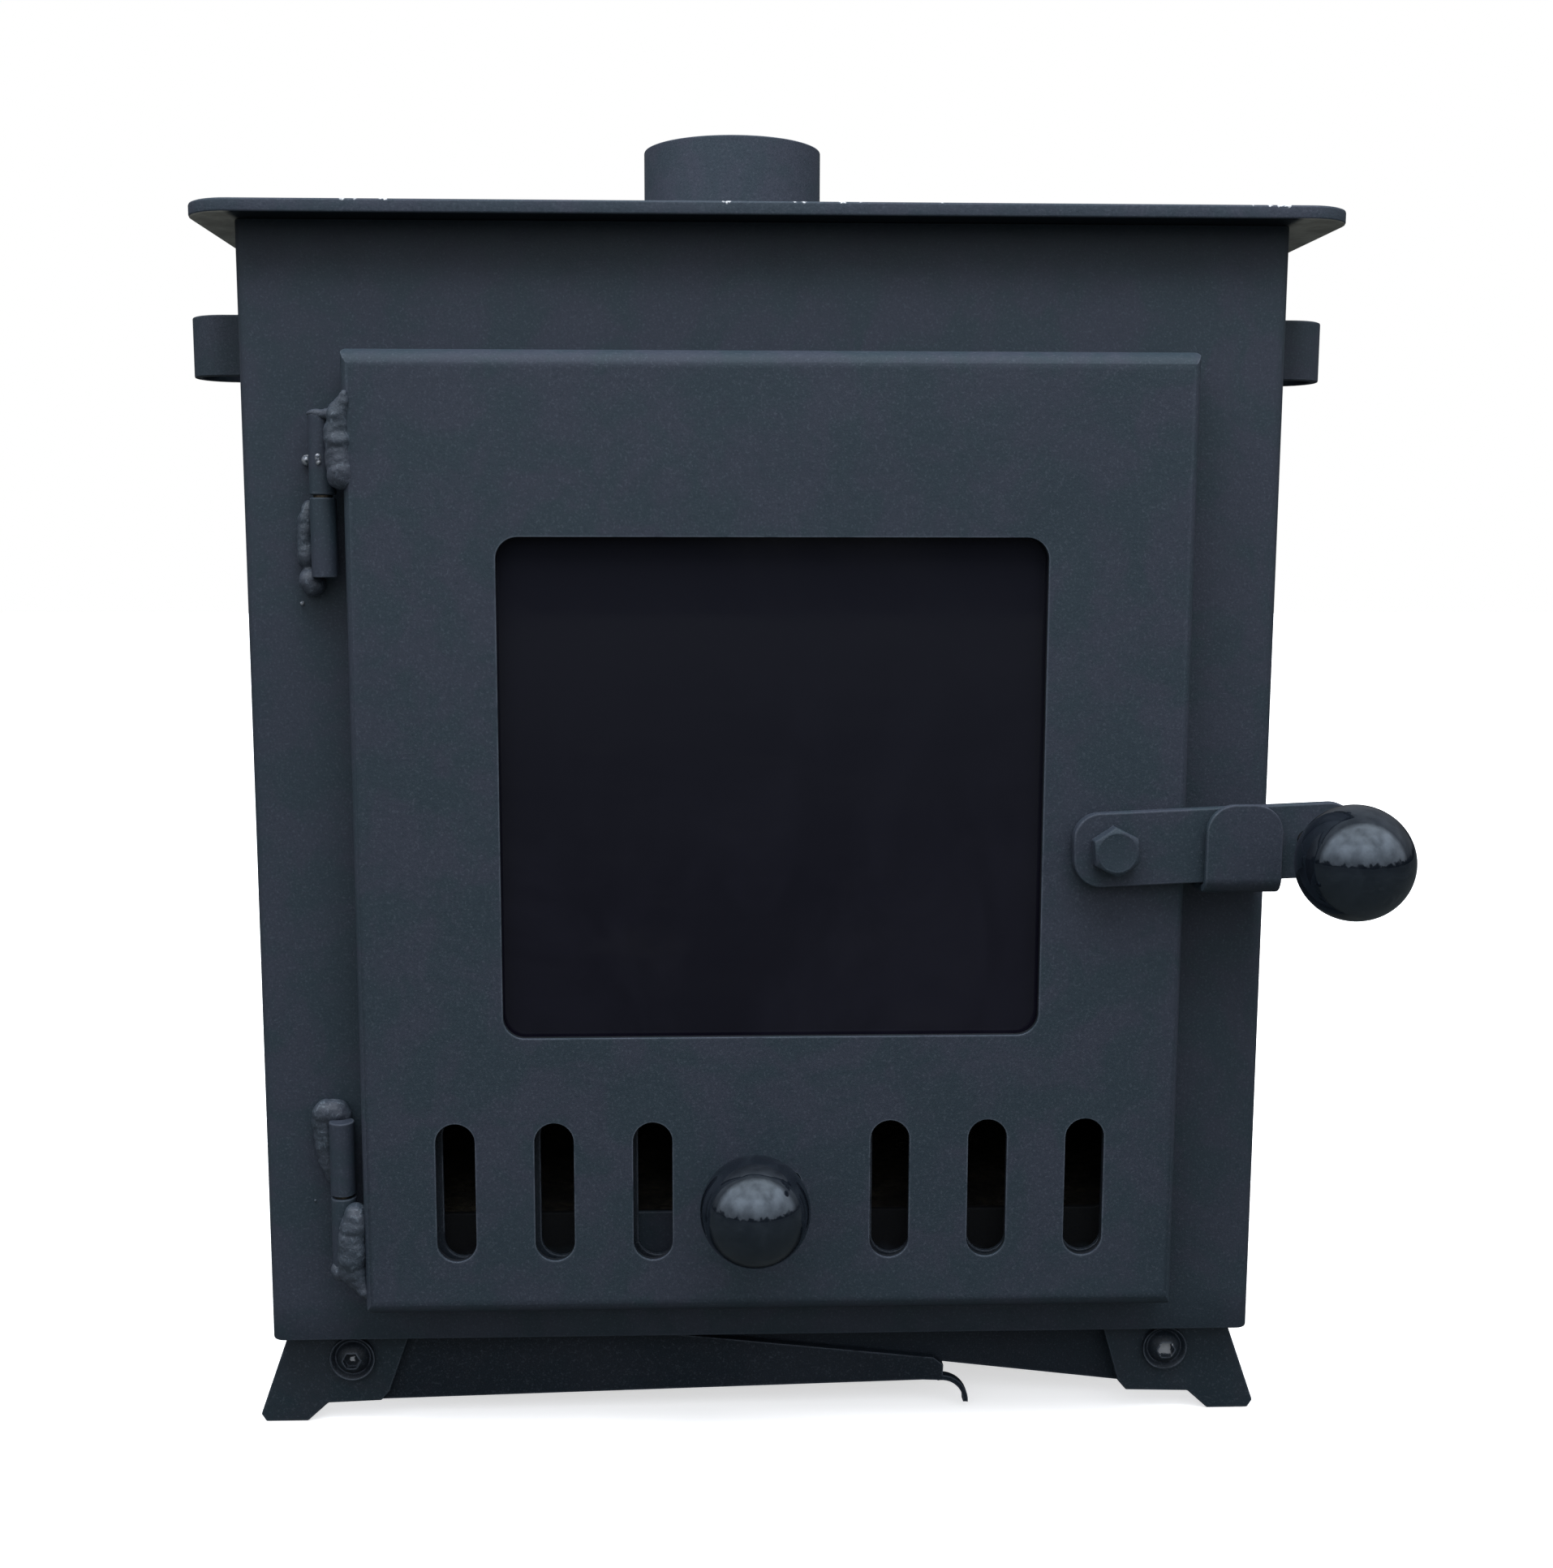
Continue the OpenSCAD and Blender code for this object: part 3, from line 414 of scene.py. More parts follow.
def top_paint():
    """The plate's paint is chipped to bare steel along its front edge, and only primed underneath, with
    painted shade on the underside over the body.
    """
    graph = Graph("top_paint")
    colour, _, normal = paint_base(graph, TOP_COOL, TOP_WARM)
    faces = graph.node("ShaderNodeSeparateXYZ")
    graph.feed(faces.inputs[0], graph.node("ShaderNodeNewGeometry").outputs["Normal"])
    underside_colour = graph.mix(graph.span(graph.noise(0.012, 4, 0.65), 0.35, 0.65), PRIMER, PRIMER_DUSTY)
    lo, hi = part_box("hot_plate")
    body_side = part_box("body_shell")[1].x
    x, y, z = graph.axes()
    beside = graph.span(graph.maths("ABSOLUTE", x), body_side - 0.003, body_side + 0.001)
    # Over the body the underside gets painted shade, and beyond its sides primer
    underside_colour = graph.mix(beside, PAINTED_SHADE, underside_colour)
    colour = graph.mix(graph.span(faces.outputs[2], *PRIMED), colour, underside_colour)

    ragged = graph.ragged(0.0016, 4, 0.7, 0.0042)
    chipped = None
    for middle, half, deep in CHIPS:
        away = graph.apart(x, middle)
        one = graph.span(graph.plus(away, ragged), half, half - 0.0005)
        low = hi.z - deep
        one = graph.times(one, graph.span(graph.plus(z, ragged), low - 0.0002, low + 0.0003))
        chipped = one if chipped is None else graph.most(chipped, one)
    near_front = graph.span(graph.plus(y, ragged), lo.y + 0.0020, lo.y + 0.0012)
    chipped = graph.times(chipped, near_front)
    colour = graph.mix(chipped, colour, CHIP_STEEL)
    graph.set(Base_Color=colour, Normal=normal, Specular_IOR_Level=PAINT_GLOSS)
    graph.set(Roughness=graph.span(chipped, 0, 1, 0.55, 0.45))
    return graph.material


def weld_paint():
    """The same paint over weld metal: a lighter copy as painted highlight, with paler, glossier flecks
    of painted highlight on the ripples.
    """
    graph = Graph("weld_paint")
    colour, _, normal = paint_base(graph, WELD_LIT_COOL, WELD_LIT_WARM, 0.0005)
    scale = graph.noise(0.0021, 4, 0.7, 0.8)
    # Paler flecks as painted highlight on the ripples
    colour = graph.mix(graph.span(scale, 0.52, 0.70, 0.0, 0.6), colour, WELD_HIGHLIGHT)
    graph.set(Base_Color=colour, Roughness=graph.span(scale, 0.35, 0.7, 0.50, 0.30))
    graph.set(Normal=graph.bump(scale, 0.0004, 0.7, normal))
    return graph.material


def spatter_steel():
    """A bead of weld metal that the paint only half covers."""
    graph = Graph("spatter_steel")
    film = graph.noise(0.0010, 3, 0.6)
    colour = graph.mix(graph.span(film, 0.42, 0.58), BEAD_STEEL, BEAD_PAINT)
    graph.set(Base_Color=colour, Metallic=0.7, Roughness=graph.span(film, 0.35, 0.65, 0.18, 0.40))
    graph.set(Normal=graph.bump(graph.noise(0.0005, 3, 0.6), 0.0001, 0.6))
    return graph.material


def bare_steel():
    """Zinc and mill-finish steel, with drawn lines, dull patches and a little heat stain."""
    graph = Graph("bare_steel")
    lines = graph.noise(0.0004, 2, 0.5, 0, graph.stretch((1, 1, 0.06)))
    dull = graph.noise(0.006, 4, 0.6)
    colour = graph.mix(graph.span(dull, 0.35, 0.7), ZINC, ZINC_DULL)
    stain = graph.span(graph.noise(0.03, 3), 0.55, 0.75, 0.0, 0.45)
    colour = graph.mix(stain, colour, HEAT_STAIN)
    graph.set(Base_Color=colour, Metallic=1.0, Roughness=graph.span(dull, 0.3, 0.7, 0.30, 0.50))
    graph.set(Normal=graph.bump(lines, 0.00008, 0.5))
    return graph.material


def sooted_steel():
    """Steel over the fire, under thin and thick soot."""
    graph = Graph("sooted_steel")
    soot = graph.noise(0.022, 5, 0.65, 0.5)
    colour = graph.mix(graph.span(soot, 0.35, 0.65), SOOTED_THIN, SOOTED_THICK)
    graph.set(Base_Color=colour, Roughness=graph.span(soot, 0.3, 0.7, 0.65, 0.92))
    graph.set(Normal=graph.bump(graph.noise(0.0012, 4, 0.7), 0.0003, 0.6))
    return graph.material


def washer_brass():
    """Brass washers that have gone dark, with a little metal still bright."""
    graph = Graph("washer_brass")
    tarnish = graph.noise(0.0022, 4, 0.65)
    colour = graph.mix(graph.span(tarnish, 0.35, 0.6), BRASS, BRASS_TARNISH)
    graph.set(Base_Color=colour, Metallic=1.0, Roughness=graph.span(tarnish, 0.3, 0.7, 0.25, 0.45))
    graph.set(Normal=graph.bump(graph.noise(0.0003, 2), 0.00005, 0.4))
    return graph.material


def stove_glass():
    """Smoked by use: it passes little light, and its smooth face has diagonal haze streaks that are also
    a painted sheen, and a haze that thickens upwards.
    """
    graph = Graph("stove_glass")
    haze = graph.noise(0.055, 4, 0.6, 1.2, graph.stretch((1, 1, 0.6), (0.3, 0, 0)))
    # Haze streaks, also a painted diagonal sheen
    colour = graph.mix(graph.span(haze, 0.35, 0.7), GLASS_SMOKE, GLASS_HAZE_AND_SHEEN)
    _, _, z = graph.axes()
    lo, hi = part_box("door_glass")
    upwards = graph.span(z, lo.z + 0.020, hi.z - 0.010, 0.0, 0.95)
    colour = graph.mix(upwards, colour, GLASS_HAZE_HIGH)
    graph.set(Base_Color=colour, Roughness=graph.span(haze, 0.3, 0.75, 0.03, 0.09))
    graph.set(Transmission_Weight=0.35, IOR=1.50)
    graph.set(Normal=graph.bump(graph.noise(0.06, 1), 0.0002, 0.15))
    return graph.material


def seal_rope():
    """White glass-fibre rope: fuzzy yarn, greyed in patches."""
    graph = Graph("seal_rope")
    fibre = graph.noise(0.0007, 4, 0.7)
    grime = graph.noise(0.018, 4, 0.6, 0.6)
    colour = graph.mix(graph.span(fibre, 0.35, 0.65), ROPE_DARK, ROPE_PALE)
    colour = graph.mix(graph.span(grime, 0.48, 0.72, 0.0, 0.7), colour, ROPE_GRIME)
    graph.set(Base_Color=colour, Roughness=graph.span(fibre, 0.3, 0.7, 0.85, 0.98))
    graph.set(Sheen_Weight=0.25)
    graph.set(Normal=graph.bump(fibre, 0.0003, 0.8))
    return graph.material


def gasket_tape():
    """Black woven tape between the glass and the door."""
    graph = Graph("gasket_tape")
    weave = graph.noise(0.0009, 3, 0.6)
    colour = graph.mix(graph.span(weave, 0.35, 0.65), TAPE_DARK, TAPE_PALE)
    graph.set(Base_Color=colour, Roughness=graph.span(weave, 0.3, 0.7, 0.8, 0.95))
    graph.set(Normal=graph.bump(weave, 0.0002, 0.8))
    return graph.material


def knob_black():
    """Phenolic ball: black and glossy, with a faint polish haze and a few rubbed patches."""
    graph = Graph("knob_black")
    haze = graph.noise(0.011, 4, 0.6, 0.7)
    colour = graph.mix(graph.span(haze, 0.4, 0.7), BALL_BLACK, BALL_HAZE)
    graph.set(Base_Color=colour, Roughness=graph.span(haze, 0.42, 0.80, 0.045, 0.14))
    graph.set(IOR=1.60, Specular_IOR_Level=1.0, Specular_Tint=BALL_TINT)
    graph.set(Normal=graph.bump(graph.noise(0.010, 3, 0.5, 0.4), 0.00022, 0.35))
    return graph.material


def firebrick():
    """Pressed vermiculite: pale brown board full of small shiny flakes, greyed by the fire."""
    graph = Graph("firebrick")
    flake = graph.cells(0.0032, output="Color")
    shade = graph.node("ShaderNodeSeparateColor")
    graph.feed(shade.inputs[0], flake)
    colour = graph.mix(shade.outputs[0], BRICK_DARK, BRICK_PALE)
    colour = graph.mix(graph.span(shade.outputs[1], 0.86, 0.90), colour, BRICK_SHINY)
    colour = graph.mix(graph.span(shade.outputs[2], 0.86, 0.92), colour, BRICK_SPECK)
    soot = graph.span(graph.noise(0.045, 4, 0.6, 0.5), 0.36, 0.62, 0.86, 0.98)
    colour = graph.mix(soot, colour, BRICK_SOOT)
    graph.set(Base_Color=colour, Roughness=graph.span(shade.outputs[1], 0, 1, 0.75, 0.95))
    pits = graph.bump(graph.noise(0.0016, 4, 0.7), 0.0006, 0.7)
    graph.set(Normal=graph.bump(graph.cells(0.0032), 0.0005, 0.6, pits))
    return graph.material


def floor_plain():
    """Pale paper that fades into the pale room, and sends little light back up at the object."""
    graph = Graph("floor_plain")
    tone = graph.noise(0.4, 3)
    pale = graph.mix(tone, PAPER, PAPER_PALE)
    light = graph.node("ShaderNodeLightPath")
    seen = light.outputs["Is Camera Ray"]
    x, y, _ = graph.axes()
    away = graph.maths("SQRT", graph.plus(graph.times(x, x), graph.times(y, y)))
    far = graph.times(graph.span(away, *FLOOR_FADE, SHADOW_LIFT, 1.0), seen)
    patches = graph.span(graph.noise(0.17, 5, 0.6, 0.4), 0.56, 0.66)
    brighter = graph.span(graph.noise(0.5, 4, 0.6), 0.35, 0.65, 0.0, 0.12)
    ground = graph.mix(brighter, FLOOR_MIRRORED, FLOOR_BOUNCE)
    ground = graph.mix(patches, ground, FLOOR_PATCH)
    mirrored = graph.mix(light.outputs["Is Glossy Ray"], FLOOR_BOUNCE, ground)
    graph.set(Base_Color=graph.mix(seen, mirrored, pale), Roughness=0.9, Specular_IOR_Level=0.1)
    graph.set(Emission_Color=(1, 1, 1, 1), Emission_Strength=far)
    return graph.material


FINISHES = {
    "stove_paint": stove_paint(),
    "top_paint": top_paint(),
    "body_paint": body_paint(),
    "door_paint": door_paint(),
    # Leg bolts: darker paint as painted shade, with a painted glint
    "leg_bolt_shade_paint": leg_bolt_shade_paint(),
    # Legs, slide and feet: darker paint as painted shade
    "leg_shade_paint": stove_paint("leg_shade_paint", LEG_SHADE_COOL, LEG_SHADE_WARM),
    "slide_shade_paint": stove_paint("slide_shade_paint", SLIDE_SHADE_COOL, SLIDE_SHADE_WARM),
    "foot_shade_paint": stove_paint("foot_shade_paint", FOOT_SHADE_COOL, FOOT_SHADE_WARM),
    "weld_paint": weld_paint(),
    "spatter_steel": spatter_steel(),
    "bare_steel": bare_steel(),
    "sooted_steel": sooted_steel(),
    "washer_brass": washer_brass(),
    "stove_glass": stove_glass(),
    "seal_rope": seal_rope(),
    "gasket_tape": gasket_tape(),
    "knob_black": knob_black(),
    "firebrick": firebrick(),
}


# ---- CAD nodes: finish and softened edges ----

# Width of the softened edge on each node, in millimetres. A node that isn't here keeps its CAD edges.
EDGES = {
    "body_shell": 0.5, "back_panel": 0.3, "base_plate": 0.3, "hot_plate": 0.9, "flue_collar": 0.5,
    "baffle_plate": 0.4, "baffle_rests": 0.4, "side_loop_left": 0.6, "side_loop_right": 0.6,
    "brick_floor": 1.6, "brick_left": 1.6, "brick_right": 1.6, "brick_back": 1.6,
    "latch_keep": 0.6, "latch_bar": 0.7, "door_panel": 0.35, "door_glass": 0.6,
    "hinge_barrel_body_upper": 0.5, "hinge_barrel_body_lower": 0.5,
    "hinge_barrel_door_upper": 0.5, "hinge_barrel_door_lower": 0.5,
    "glass_clips": 0.3, "rope_ledge": 0.5, "air_slide": 0.25, "air_slide_rails": 0.3,
    "foot_front_left": 0.5, "foot_front_right": 0.5, "foot_rear_left": 0.5, "foot_rear_right": 0.5,
    "leg_front_left": 0.5, "leg_front_right": 0.5, "leg_rear_left": 0.5, "leg_rear_right": 0.5,
    "latch_nut": 0.3, "air_knob_nut": 0.2, "leg_nuts": 0.4, "leg_bolts": 0.3,
}
# Finish of the nodes whose looks need more than their material slot's finish. Legs, feet, the air slide
# and the leg bolts get darker paint as painted shade.
SPECIAL = {
    "baffle_plate": "sooted_steel", "baffle_rests": "sooted_steel", "glass_gasket": "gasket_tape",
    "body_shell": "body_paint", "door_panel": "door_paint", "air_slide": "slide_shade_paint",
    "leg_bolts": "leg_bolt_shade_paint",
}
for end in ("front", "rear"):
    for side in ("left", "right"):
        SPECIAL[f"leg_{end}_{side}"] = "leg_shade_paint"
        SPECIAL[f"foot_{end}_{side}"] = "foot_shade_paint"


def soften(piece, width):
    """Rounds a node's sharp edges with modifiers, and leaves its mesh as the CAD made it."""
    weld = piece.modifiers.new("join", "WELD")
    weld.merge_threshold = 0.002 * MM
    flat = piece.modifiers.new("flat", "DECIMATE")
    flat.decimate_type = "DISSOLVE"
    flat.angle_limit = math.radians(0.4)
    bevel = piece.modifiers.new("edges", "BEVEL")
    bevel.width = width * MM
    bevel.segments = 2
    bevel.limit_method = "ANGLE"
    bevel.angle_limit = math.radians(32)
    shading = piece.modifiers.new("shading", "WEIGHTED_NORMAL")
    shading.keep_sharp = False
    shading.weight = 60


def dress(node, finish):
    """Gives a CAD node its finish, smooth shading and softened edges."""
    piece = nodes[node]
    piece.data.materials.clear()
    piece.data.materials.append(FINISHES[finish])
    for face in piece.data.polygons:
        face.use_smooth = True
    if node in EDGES:
        soften(piece, EDGES[node])


for part in frame["record"]["subparts"]:
    dress(part["node"], SPECIAL.get(part["node"], part["material_slot"]))


# ---- Making pieces ----

def piece_from(name, bm, finish, body):
    """A new object from a bmesh, on its body and in its material slot."""
    mesh = bpy.data.meshes.new(name)
    bm.to_mesh(mesh)
    bm.free()
    for face in mesh.polygons:
        face.use_smooth = True
    made = bpy.data.objects.new(name, mesh)
    bpy.context.scene.collection.objects.link(made)
    made.data.materials.append(FINISHES[finish])
    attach(made, body)
    return made


def drops_along(path, spacing, rng, jitter=0.05):
    """Overlapping drops of weld metal along a path of (x, y, z, radius) in millimetres."""
    drops = []
    for (*a, ra), (*b, rb) in zip(path, path[1:]):
        a, b = Vector(a), Vector(b)
        steps = max(1, round((b - a).length / spacing))
        for i in range(steps):
            share = i / steps
            r = (ra + (rb - ra) * share) * (1 + rng.uniform(-jitter, jitter))
            wander = Vector([rng.uniform(-1, 1) for _ in "xyz"]) * r * jitter
            drops.append((a.lerp(b, share) + wander, r))
    *end, r = path[-1]
    return drops + [(Vector(end), r)]


# Size of a weld's coarse and fine lumps in millimetres, how much of the roughness is fine, and how far
# each seed moves along the noise
COARSE_LUMP = 6.0
FINE_LUMP = 1.8
FINE_SHARE = 0.15
SEED_SHIFT = (7.3, 3.1, 5.7)


def fused(drops, voxel, rough, seed):
    """One skin round all the drops, then roughened. Drops are (middle, radius) in millimetres."""
    bm = bmesh.new()
    for middle, r in drops:
        place = Matrix.Translation(middle * MM) @ Matrix.Scale(r * MM, 4)
        bmesh.ops.create_icosphere(bm, subdivisions=3, radius=1, matrix=place)
    mesh = bpy.data.meshes.new("drops")
    bm.to_mesh(mesh)
    bm.free()
    rough_shape = bpy.data.objects.new("drops", mesh)
    bpy.context.scene.collection.objects.link(rough_shape)
    remesh = rough_shape.modifiers.new("skin", "REMESH")
    remesh.mode = "VOXEL"
    remesh.voxel_size = voxel * MM
    relax = rough_shape.modifiers.new("relax", "SMOOTH")
    relax.iterations = 6
    depsgraph = bpy.context.evaluated_depsgraph_get()
    skin = bpy.data.meshes.new_from_object(rough_shape.evaluated_get(depsgraph))
    bpy.data.objects.remove(rough_shape)
    out = bmesh.new()
    out.from_mesh(skin)
    bpy.data.meshes.remove(skin)
    out.normal_update()
    shift = Vector([seed * part for part in SEED_SHIFT])
    for v in out.verts:
        coarse = noise.noise(v.co / (COARSE_LUMP * MM) + shift)
        fine = noise.noise(v.co / (FINE_LUMP * MM) + shift)
        v.co += v.normal * (coarse * (1 - FINE_SHARE) + fine * FINE_SHARE) * rough * MM
    return out


def weld(name, paths, body, seed, spacing=0.9, voxel=0.45, rough=0.9,
         slot="stove_paint", finish="weld_paint"):
    """A run of weld metal. Each path is a list of (x, y, z, radius) in millimetres."""
    rng = random.Random(seed)
    drops = [d for path in paths for d in drops_along(path, spacing, rng)]
    return piece_from(name, fused(drops, voxel, rough, seed), finish, body)


def in_mm(node):
    """The two corners of a node's box, in millimetres."""
    lo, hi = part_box(node)
    return lo / MM, hi / MM


# ---- Welds at the hinges ----

def hinge_welds():
    """Thick lumpy runs that hold the hinge barrels to the door's edge and to the front panel.

    Each point is placed from the door's left edge, its outer skin or the barrel's box.
    """
    door_lo = in_mm("door_panel")[0]
    edge, skin = door_lo.x, door_lo.y
    face = in_mm("body_shell")[0].y

    lo, hi = in_mm("hinge_barrel_door_upper")
    top = hi.z
    upper = weld("weld_door_upper", [
        [(edge + 1.6, skin - 0.2, top + 6.8, 1.0), (edge + 0.6, skin + 0.6, top + 3.4, 2.4),
         (edge - 1.0, skin + 1.6, top + 0.2, 3.8), (edge - 1.6, skin + 2.6, top - 5.0, 4.7),
         (edge - 1.4, skin + 2.8, top - 11.0, 5.0), (edge - 0.9, skin + 3.0, top - 17.5, 4.9),
         (edge - 0.7, skin + 2.8, top - 22.5, 4.8)],
        [(edge - 4.6, skin + 5.2, top - 0.6, 2.4), (lo.x + 2.6, skin + 7.4, top + 0.1, 1.2),
         (lo.x + 0.7, skin + 8.2, top + 0.1, 0.7)],
    ], "door", 3)
    weld("weld_bead_door", [
        [(lo.x + 4.4, lo.y + 0.4, lo.z + 11.4, 1.1), (lo.x + 4.3, lo.y + 0.4, lo.z + 13.4, 1.2)],
    ], "door", 23, voxel=0.2, rough=0.1, finish="spatter_steel")

    lo, hi = in_mm("hinge_barrel_door_lower")
    top, low = hi.z, lo.z
    weld("weld_door_lower", [
        [(edge - 3.4, skin + 4.6, top - 5.0, 3.9), (edge - 4.2, skin + 4.8, top - 10.5, 5.0),
         (edge - 4.8, skin + 5.2, top - 17.0, 5.6), (edge - 5.4, skin + 5.8, top - 22.5, 5.9),
         (edge - 5.2, skin + 6.2, low + 2.0, 5.6), (edge - 3.4, skin + 5.4, low - 2.6, 4.4),
         (edge - 1.4, skin + 4.2, low - 5.8, 3.0), (edge + 0.6, skin + 3.4, low - 8.4, 1.6)],
        [(lo.x + 2.0, skin + 8.4, low + 0.6, 2.9), (lo.x + 3.8, skin + 7.4, low - 0.4, 3.4)],
    ], "door", 5)
    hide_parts("hinge_welds_door")

    lo, hi = in_mm("hinge_barrel_body_upper")
    body_upper = weld("weld_body_upper", [
        [(lo.x - 1.6, face - 2.2, hi.z - 3.2, 2.7), (lo.x - 2.3, face - 2.4, hi.z - 8.0, 3.5),
         (lo.x - 2.5, face - 2.2, hi.z - 15.0, 3.6), (lo.x - 2.4, face - 2.4, hi.z - 22.0, 3.5)],
        [(lo.x - 1.4, face - 2.6, lo.z - 0.8, 4.8), (lo.x - 0.4, face - 2.4, lo.z - 2.4, 4.5)],
    ], "stove", 7)
    weld("weld_spatter", [
        [(lo.x - 1.9, face - 1.0, hi.z + 13.6, 2.1)],
        [(lo.x - 5.5, face - 0.2, lo.z - 9.5, 0.8)],
    ], "stove", 11, voxel=0.25, rough=0.16, finish="spatter_steel")

    lo, hi = in_mm("hinge_barrel_body_lower")
    weld("weld_body_lower", [
        [(lo.x - 2.0, face - 3.0, hi.z + 1.4, 5.0), (lo.x + 2.2, face - 3.4, hi.z + 2.4, 4.4),
         (lo.x + 5.2, face - 3.2, hi.z + 1.0, 2.9)],
        [(lo.x - 2.6, face - 2.6, hi.z - 2.0, 4.6), (lo.x - 2.4, face - 2.4, hi.z - 9.0, 4.2),
         (lo.x - 2.0, face - 2.2, hi.z - 15.0, 4.1), (lo.x - 1.0, face - 1.8, hi.z - 21.0, 3.4),
         (lo.x + 0.4, face - 1.4, hi.z - 25.0, 2.1)],
        [(lo.x - 7.6, face - 0.2, hi.z - 34.0, 0.7)],
        [(lo.x - 3.0, face - 0.2, hi.z - 48.0, 0.6)],
    ], "stove", 9)
    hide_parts("hinge_welds_body")


# ---- Welds that hold the smaller pieces ----

def ring_path(cx, cy, z, radius, bead, steps=40):
    """A closed path of (x, y, z, radius) for a weld round a tube."""
    points = []
    for i in range(steps + 1):
        a = 2 * math.pi * i / steps
        points.append((cx + radius * math.cos(a), cy + radius * math.sin(a), z, bead))
    return points


def small_welds():
    """A fillet round the flue collar, and one along both ends of each side loop."""
    lo, hi = in_mm("flue_collar")
    plate_top = in_mm("hot_plate")[1].z
    cx, cy = (lo.x + hi.x) / 2, (lo.y + hi.y) / 2
    ring = ring_path(cx, cy, plate_top + 0.6, (hi.x - lo.x) / 2 + 0.6, 2.1)
    weld("weld_collar", [ring], "stove", 13, spacing=1.5, voxel=0.6, rough=0.35, slot="top_paint")
    body_lo, body_hi = in_mm("body_shell")
    for side, x, seed in (("left", body_lo.x - 0.3, 17), ("right", body_hi.x + 0.3, 19)):
        lo, hi = in_mm("side_loop_" + side)
        paths = [[(x, y, lo.z + 2, 1.5), (x, y, hi.z - 2, 1.5)] for y in (lo.y - 0.2, hi.y + 0.2)]
        weld("weld_loop_" + side, paths, "stove", seed, spacing=1.4, voxel=0.5, rough=0.3)


# ---- Latch bolt ----

# An M10 bolt in millimetres: width over the head's flats, head height and shank. The head stands turned
# by this many degrees.
BOLT_FLATS = 16.0
BOLT_HEAD = 6.4
BOLT_SHANK = 10.0
BOLT_TURN = 26.5
# Width and slope of the chamfer round the head's front, and how deep its face is dished
CHAMFER = 0.75
CHAMFER_SLOPE = 1.9
DISH = 0.18


def latch_bolt():
    """A hexagon head with a chamfered, slightly dished front, on its shank."""
    lo, hi = in_mm("latch_bolt")
    cx, cz = (lo.x + hi.x) / 2, (lo.z + hi.z) / 2
    around = 120
    bm = bmesh.new()

    def hexagon(angle):
        turned = (angle + math.radians(BOLT_TURN)) % (math.pi / 3) - math.pi / 6
        return BOLT_FLATS / 2 / math.cos(turned)

    def ring(y, size):
        made = []
        for i in range(around):
            a = 2 * math.pi * i / around
            r = size(a) if callable(size) else size
            made.append(bm.verts.new(Vector((cx + r * math.cos(a), y, cz + r * math.sin(a))) * MM))
        return made

    def chamfered(depth):
        return lambda a: min(hexagon(a), BOLT_FLATS / 2 - CHAMFER + depth * CHAMFER_SLOPE)

    front, back, shank = lo.y, lo.y + BOLT_HEAD, BOLT_SHANK / 2
    rings = [ring(front + DISH, 0.01), ring(front + DISH, 6.3), ring(front, 6.9), ring(front, 7.1)]
    rings += [ring(front + d, chamfered(d)) for d in (0.08, 0.3, 0.6, 0.9, 1.2, 1.5, 1.9)]
    rings += [ring(back - 0.3, hexagon), ring(back, lambda a: hexagon(a) - 0.25)]
    rings += [ring(back, shank), ring(hi.y - 1.0, shank), ring(hi.y, shank - 0.9), ring(hi.y, 0.01)]
    for one, two in zip(rings, rings[1:]):
        for i in range(around):
            j = (i + 1) % around
            bm.faces.new((one[i], one[j], two[j], two[i]))
    bmesh.ops.remove_doubles(bm, verts=bm.verts, dist=0.02 * MM)
    bmesh.ops.recalc_face_normals(bm, faces=bm.faces)
    made = piece_from("latch_bolt_hex", bm, "stove_paint", "door")
    shading = made.modifiers.new("shading", "WEIGHTED_NORMAL")
    shading.weight = 50
    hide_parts("latch_bolt")


# ---- Rope seal ----

# The rope in millimetres: radius, bend at the corners, distance between its rings, length of one stitch,
# and how far the stitches sink and stand out from just under the radius
ROPE_R = 3.0
ROPE_BEND = 9.0
ROPE_STEP = 0.95
ROPE_STITCH = 6.5
ROPE_SUNK = 0.30
ROPE_RELIEF = 0.28


